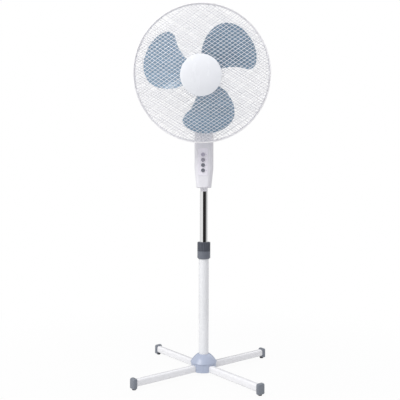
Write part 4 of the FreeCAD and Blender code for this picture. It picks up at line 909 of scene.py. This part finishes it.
# each button's finish, and the bars that mark it; off is marked by a ring
BUTTONS = {
    "off_button": ("button_pale", 0),
    "speed_1_button": ("button_grey", 1),
    "speed_2_button": ("button_dark", 2),
    "speed_3_button": ("button_dark", 3),
}
for node, (finish, _) in BUTTONS.items():
    low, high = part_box(node)
    centre = (low + high) / 2
    radius = BUTTON_RADIUS
    length = high.y - low.y
    place = axes(X, Z, -Y, Vector((centre.x, low.y, centre.z)))
    # from the pressed face back, which leaves the cap's faces pointing inward
    skin = [
        (0.0, -0.0009),
        (radius * 0.5, -0.0006),
        (radius * 0.80, -0.0001),
        (radius * 0.9, 0.0),
        (radius * 0.97, -0.0003),
        (radius, -0.0010),
        (radius, -length + 0.0021),
        (BUTTON_FLANGE, -length + 0.002),
        (BUTTON_FLANGE, -length),
        (0.0, -length),
    ]
    body = next(b for b, members in record["behaviour"]["bodies"].items() if node in members)
    settle(lathe(node + "_cap", skin, place, 48), body, finish, (node,))

# small raised marks beside the buttons: a ring for off, and one to three bars for the speeds
MARK_ASIDE = 0.0108  # from the button's middle to the mark's
MARK_HALF = 0.0014  # the ring's radius, and half a bar's length without its rounded ends
MARK_END = 0.0016
MARK_GAP = 0.0016  # between bars
RING_MARK_RADIUS = 0.00025
BAR_MARK_RADIUS = 0.0003
verts, faces = [], []
panel_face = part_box("button_panel")[0].y
for node, (_, bars) in BUTTONS.items():
    low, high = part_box(node)
    x, z = (low.x + high.x) / 2 + MARK_ASIDE, (low.z + high.z) / 2
    if not bars:
        ring = arc(MARK_HALF, 0.0, math.tau, 24)
        path = [Vector((x + p.x, panel_face, z + p.y)) for p in ring]
        tube(verts, faces, path, RING_MARK_RADIUS, 6)
    for k in range(bars):
        rise = z + (k - (bars - 1) / 2) * MARK_GAP
        reaches = (-MARK_END, -MARK_HALF, MARK_HALF, MARK_END)
        path = [Vector((x + reach, panel_face, rise)) for reach in reaches]
        tube(verts, faces, path, BAR_MARK_RADIUS, 8)
settle(piece("button_marks", verts, faces), "column", "button_pale", ())

# ---------------------------------------------------------------- tilt bolt
BOLT_HEAD = 0.0075
BOLT_SHANK = 0.004
HEAD_HEIGHT = 0.0045
HEAD_BREAK = 0.0004
SLOT_HALF = 0.0009
SLOT_DEPTH = 0.0018
SLOT_BREAK = 0.0005
THREAD_TURNS = 7
THREAD_PITCH = 0.001
THREAD_DEPTH = 0.0005
THREAD_START = 0.0008
low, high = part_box("tilt_bolt")
centre = (low + high) / 2
place = axes(Y, Z, X, Vector((0, centre.y, centre.z)))
head_low = high.x - HEAD_HEIGHT
land = high.x - SLOT_DEPTH
shank = [(0.0, low.x), (BOLT_SHANK - THREAD_START, low.x)]
for k in range(THREAD_TURNS):
    crest = low.x + THREAD_START + THREAD_PITCH * k
    shank += [
        (BOLT_SHANK, crest),
        (BOLT_SHANK, crest + 0.00015),
        (BOLT_SHANK - THREAD_DEPTH, crest + THREAD_DEPTH),
    ]
shank += [
    (BOLT_SHANK, low.x + 0.0082),
    (BOLT_SHANK, head_low),
    (BOLT_HEAD - HEAD_BREAK, head_low),
    (BOLT_HEAD, head_low + HEAD_BREAK),
    (BOLT_HEAD, land - 0.0001),
    (BOLT_HEAD - 0.0001, land),
    (0.0, land),
]
bolt = lathe("tilt_bolt_shank", shank, place, 64)
settle(bolt, "column", "zinc_steel", ("tilt_bolt",))

# the two lands that leave the slot between them
verts, faces = [], []
first = math.asin(SLOT_HALF / BOLT_HEAD)
for flip in (0.0, math.pi):
    outline = arc(BOLT_HEAD, first + flip, math.pi - first + flip, 28)
    land_piece(verts, faces, outline, land - 0.0003, high.x, SLOT_BREAK)
lands = piece("tilt_bolt_slot", verts, faces, place)
lands.data.set_sharp_from_angle(angle=math.radians(30))
settle(lands, "column", "zinc_steel")

# ---------------------------------------------------------------- housing screws
# each a pan head with a cross recess; shares are of the pan's radius
RECESS_SHARE = 0.62
RECESS_DEPTH = 0.5  # of the pan's height
CROSS_HALF_SHARE = 0.13
NEAR_TIP = 0.0005
QUARTER = math.pi / 2
points = [v.co for v in nodes["housing_screws"].data.vertices]
low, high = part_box("housing_screws")
split = (low.z + high.z) / 2
for count, (right, upper) in enumerate(((0, 0), (0, 1), (1, 0), (1, 1)), 1):
    own = [p for p in points if (p.x > 0) == right and (p.z > split) == upper]
    x, z = midway(p.x for p in own), midway(p.z for p in own)
    tip, top = min(p.y for p in own), max(p.y for p in own)
    pan = max(p.x for p in own) - x
    stem = max(p.x for p in own if p.y < tip + NEAR_TIP) - x
    under = min(p.y for p in own if p.x > x + stem * 1.2)
    place = axes(X, -Z, Y, Vector((x, 0, z)))
    recess = pan * RECESS_SHARE
    bottom = top - (top - under) * RECESS_DEPTH
    skin = [
        (0.0, tip),
        (stem, tip),
        (stem, under),
        (pan, under),
        (pan, bottom),
        (pan * 0.94, top - 0.0003),
        (pan * 0.8, top - 0.0001),
        (recess, top),
        (recess, bottom),
        (0.0, bottom),
    ]
    name = "housing_screw_%d" % count
    stands_for = ("housing_screws",) if count == 1 else ()
    settle(lathe(name, skin, place, 48), "column", "zinc_steel", stands_for)
    verts, faces = [], []
    gap = pan * CROSS_HALF_SHARE
    first = math.asin(gap / recess)
    for quarter in range(4):
        from_here = quarter * QUARTER
        outline = arc(recess * 1.02, first + from_here, QUARTER - first + from_here, 6)
        corner = Matrix.Rotation(from_here, 2) @ Vector((gap, gap))
        land_piece(verts, faces, outline + [corner], bottom - 0.0001, top, 0.0001)
    settle(piece(name + "_cross", verts, faces, place, False), "column", "zinc_steel")

# ---------------------------------------------------------------- pull knob's grip
GRIP_HEIGHT = 0.010
GRIP_RIBS = 28
GRIP_RIB_RADIUS = 0.0005
GRIP_FALLS = (0.0098, 0.0094, 0.0028, 0.0024)  # down from the knob's top
inverse = head.inverted()
points = [inverse @ v.co for v in nodes["oscillation_knob"].data.vertices]
knob_top = max(p.z for p in points)
grip = [p for p in points if p.z > knob_top - GRIP_HEIGHT]
centre = Vector((midway(p.x for p in grip), midway(p.y for p in grip), 0))
grip_radius = (max(p.x for p in grip) - min(p.x for p in grip)) / 2
verts, faces = [], []
for k in range(GRIP_RIBS):
    out = turn(Vector((grip_radius - 0.0002, 0, 0)), 360 * k / GRIP_RIBS) + centre
    path = [out + Vector((0, 0, knob_top - fall)) for fall in GRIP_FALLS]
    tube(verts, faces, path, GRIP_RIB_RADIUS, 8)
settle(piece("knob_ribs", verts, faces, head), "knob", "white_plastic")

# ---------------------------------------------------------------- studio
CAMERA_DISTANCE = 1.843  # from the pole's axis
CAMERA_HEIGHT = 0.584
CAMERA_AZIMUTH = 6.62
CAMERA_PITCH = 1.62
CAMERA_ROLL = 0.13
LENS_MM = 49.716
SENSOR_MM = 36.0
SHIFT_X, SHIFT_Y = -0.0100, -0.0500
CARD_RADIUS = 0.75
CARD_TOP = 1.0
CARD_PANES = 64
WHITE = (1.0, 1.0, 1.0, 1.0)
FILL_COLOUR = (0.97, 0.97, 1.0, 1.0)
FILL_STRENGTH = 0.61
PAPER = (0.66, 0.66, 0.66, 1.0)
PAPER_HALF = 8
PAPER_DROP = 0.0004  # under the fan's feet
# the share of the paper that glows white, near the fan and away from it
GLOW_NEAR, GLOW_FAR = (0.3, 0.95), (1.3, 1.0)
AIM = (0.0, 0.0, 0.75)
# name, place, size, watts, colour
LAMPS = (
    ("key", (-1.9, -2.1, 3.2), 2.0, 88.0, (1.0, 0.995, 0.985)),
    ("fill", (1.8, -2.7, 1.2), 1.6, 10.0, (0.96, 0.96, 1.0)),
    ("back", (0.9, 2.7, 2.2), 1.8, 26.0, (1.0, 1.0, 1.0)),
)
# what the chrome mirrors, as (degrees to the right of the camera seen from the pole, brightness)
CARD_STOPS = (
    (-179.9, 0.04),
    (-160.0, 0.10),
    (-146.0, 0.80),
    (-100.0, 0.78),
    (-34.0, 0.86),
    (-27.0, 0.02),
    (48.0, 0.02),
    (72.0, 0.30),
    (112.0, 0.80),
    (146.0, 0.90),
    (160.0, 0.10),
    (179.9, 0.04),
)
scene = bpy.context.scene
scene.view_settings.view_transform = "Standard"


def seen_directly(tree):
    """1 for rays that see a surface straight, in a mirror or through glass."""
    path = tree.nodes.new("ShaderNodeLightPath")
    value = path.outputs["Is Camera Ray"]
    for name in ("Is Glossy Ray", "Is Transmission Ray"):
        step = tree.nodes.new("ShaderNodeMath")
        step.operation = "MAXIMUM"
        tree.links.new(value, step.inputs[0])
        tree.links.new(path.outputs[name], step.inputs[1])
        value = step.outputs[0]
    return value


def mixed(tree, share, first, second, output):
    """Sends two shaders, mixed by a share, to an output's surface."""
    mix = tree.nodes.new("ShaderNodeMixShader")
    tree.links.new(share, mix.inputs[0])
    tree.links.new(first.outputs[0], mix.inputs[1])
    tree.links.new(second.outputs[0], mix.inputs[2])
    tree.links.new(mix.outputs[0], tree.nodes[output].inputs["Surface"])


# plain light on the fan, and white wherever the world is seen
world = bpy.data.worlds.new("studio")
scene.world = world
world.use_nodes = True
tree = world.node_tree
fill = tree.nodes["Background"]
fill.inputs["Color"].default_value = FILL_COLOUR
fill.inputs["Strength"].default_value = FILL_STRENGTH
white = tree.nodes.new("ShaderNodeBackground")
white.inputs["Color"].default_value = WHITE
white.inputs["Strength"].default_value = 1.0
mixed(tree, seen_directly(tree), fill, white, "World Output")

# white paper that keeps a little of the fan's shadow
corners = [(-1, -1), (1, -1), (1, 1), (-1, 1)]
sheet = [(PAPER_HALF * x, PAPER_HALF * y, 0) for x, y in corners]
floor = piece("studio_floor", sheet, [(0, 1, 2, 3)])
floor.location.z = -PAPER_DROP
s = Shader("studio_paper")
s.set(Base_Color=PAPER, Roughness=0.9)
away = s.add("ShaderNodeVectorMath", {0: s.place}, operation="LENGTH").outputs["Value"]
paper_glow = s.spread(away, GLOW_NEAR[0], GLOW_FAR[0], GLOW_NEAR[1], GLOW_FAR[1])
share = s.maths("MULTIPLY", seen_directly(s.tree), paper_glow)
glow = s.add("ShaderNodeEmission", {"Color": WHITE, "Strength": 1.0})
mixed(s.tree, share, s.shader, glow, "Material Output")
floor.data.materials.append(s.material)
floor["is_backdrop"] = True

# square soft boxes, all aimed at the middle of the fan
for name, spot, size, power, colour in LAMPS:
    light = bpy.data.lights.new(name, "AREA")
    light.size = size
    light.energy = power
    light.color = colour
    thing = bpy.data.objects.new(name, light)
    scene.collection.objects.link(thing)
    thing.location = spot
    thing.rotation_euler = (Vector(AIM) - Vector(spot)).to_track_quat("-Z", "Y").to_euler()
    thing.visible_camera = False


def card(name, stops):
    """A curved card round the fan, seen only in mirrors."""
    first, last = stops[0][0], stops[-1][0]
    verts = []
    for i in range(CARD_PANES + 1):
        a = math.radians(CAMERA_AZIMUTH + first + (last - first) * i / CARD_PANES)
        for height in (0.0, CARD_TOP):
            verts.append((CARD_RADIUS * math.sin(a), -CARD_RADIUS * math.cos(a), height))
    panes = [(2 * i, 2 * i + 1, 2 * i + 3, 2 * i + 2) for i in range(CARD_PANES)]
    thing = piece(name, verts, panes)
    s = Shader(name)
    facing = (0.0, 0.0, math.radians(90 - CAMERA_AZIMUTH))
    turned = s.add("ShaderNodeMapping", {"Vector": s.place, "Rotation": facing})
    across = s.add("ShaderNodeSeparateXYZ", {"Vector": turned.outputs["Vector"]})
    angle = s.maths("ARCTAN2", across.outputs["Y"], across.outputs["X"])
    ramp = s.add("ShaderNodeValToRGB", {"Fac": s.spread_evenly(angle, -math.pi, math.pi)})
    for k, (degrees, level) in enumerate(stops):
        spot = 0.5 + degrees / 360.0
        stop = ramp.color_ramp.elements[k] if k < 2 else ramp.color_ramp.elements.new(spot)
        stop.position = spot
        stop.color = (level, level, level, 1.0)
    glow = s.add("ShaderNodeEmission", {"Color": ramp.outputs["Color"]})
    s.tree.links.new(glow.outputs[0], s.tree.nodes["Material Output"].inputs["Surface"])
    thing.data.materials.append(s.material)
    thing.visible_camera = False
    thing.visible_diffuse = False
    thing.visible_shadow = False
    thing.visible_transmission = False
    thing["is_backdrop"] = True


card("studio_card", CARD_STOPS)
camera = bpy.data.cameras.new("camera")
camera.lens = LENS_MM
camera.sensor_width = SENSOR_MM
camera.shift_x = SHIFT_X
camera.shift_y = SHIFT_Y
eye = bpy.data.objects.new("camera", camera)
scene.collection.objects.link(eye)
azimuth = math.radians(CAMERA_AZIMUTH)
stand = Matrix.Translation(
    (CAMERA_DISTANCE * math.sin(azimuth), -CAMERA_DISTANCE * math.cos(azimuth), CAMERA_HEIGHT)
)
level = Matrix.Rotation(math.radians(90 + CAMERA_PITCH), 4, "X")
roll = Matrix.Rotation(math.radians(CAMERA_ROLL), 4, "Z")
eye.matrix_world = stand @ (Matrix.Rotation(azimuth, 4, "Z") @ level) @ roll
scene.camera = eye

low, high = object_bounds()
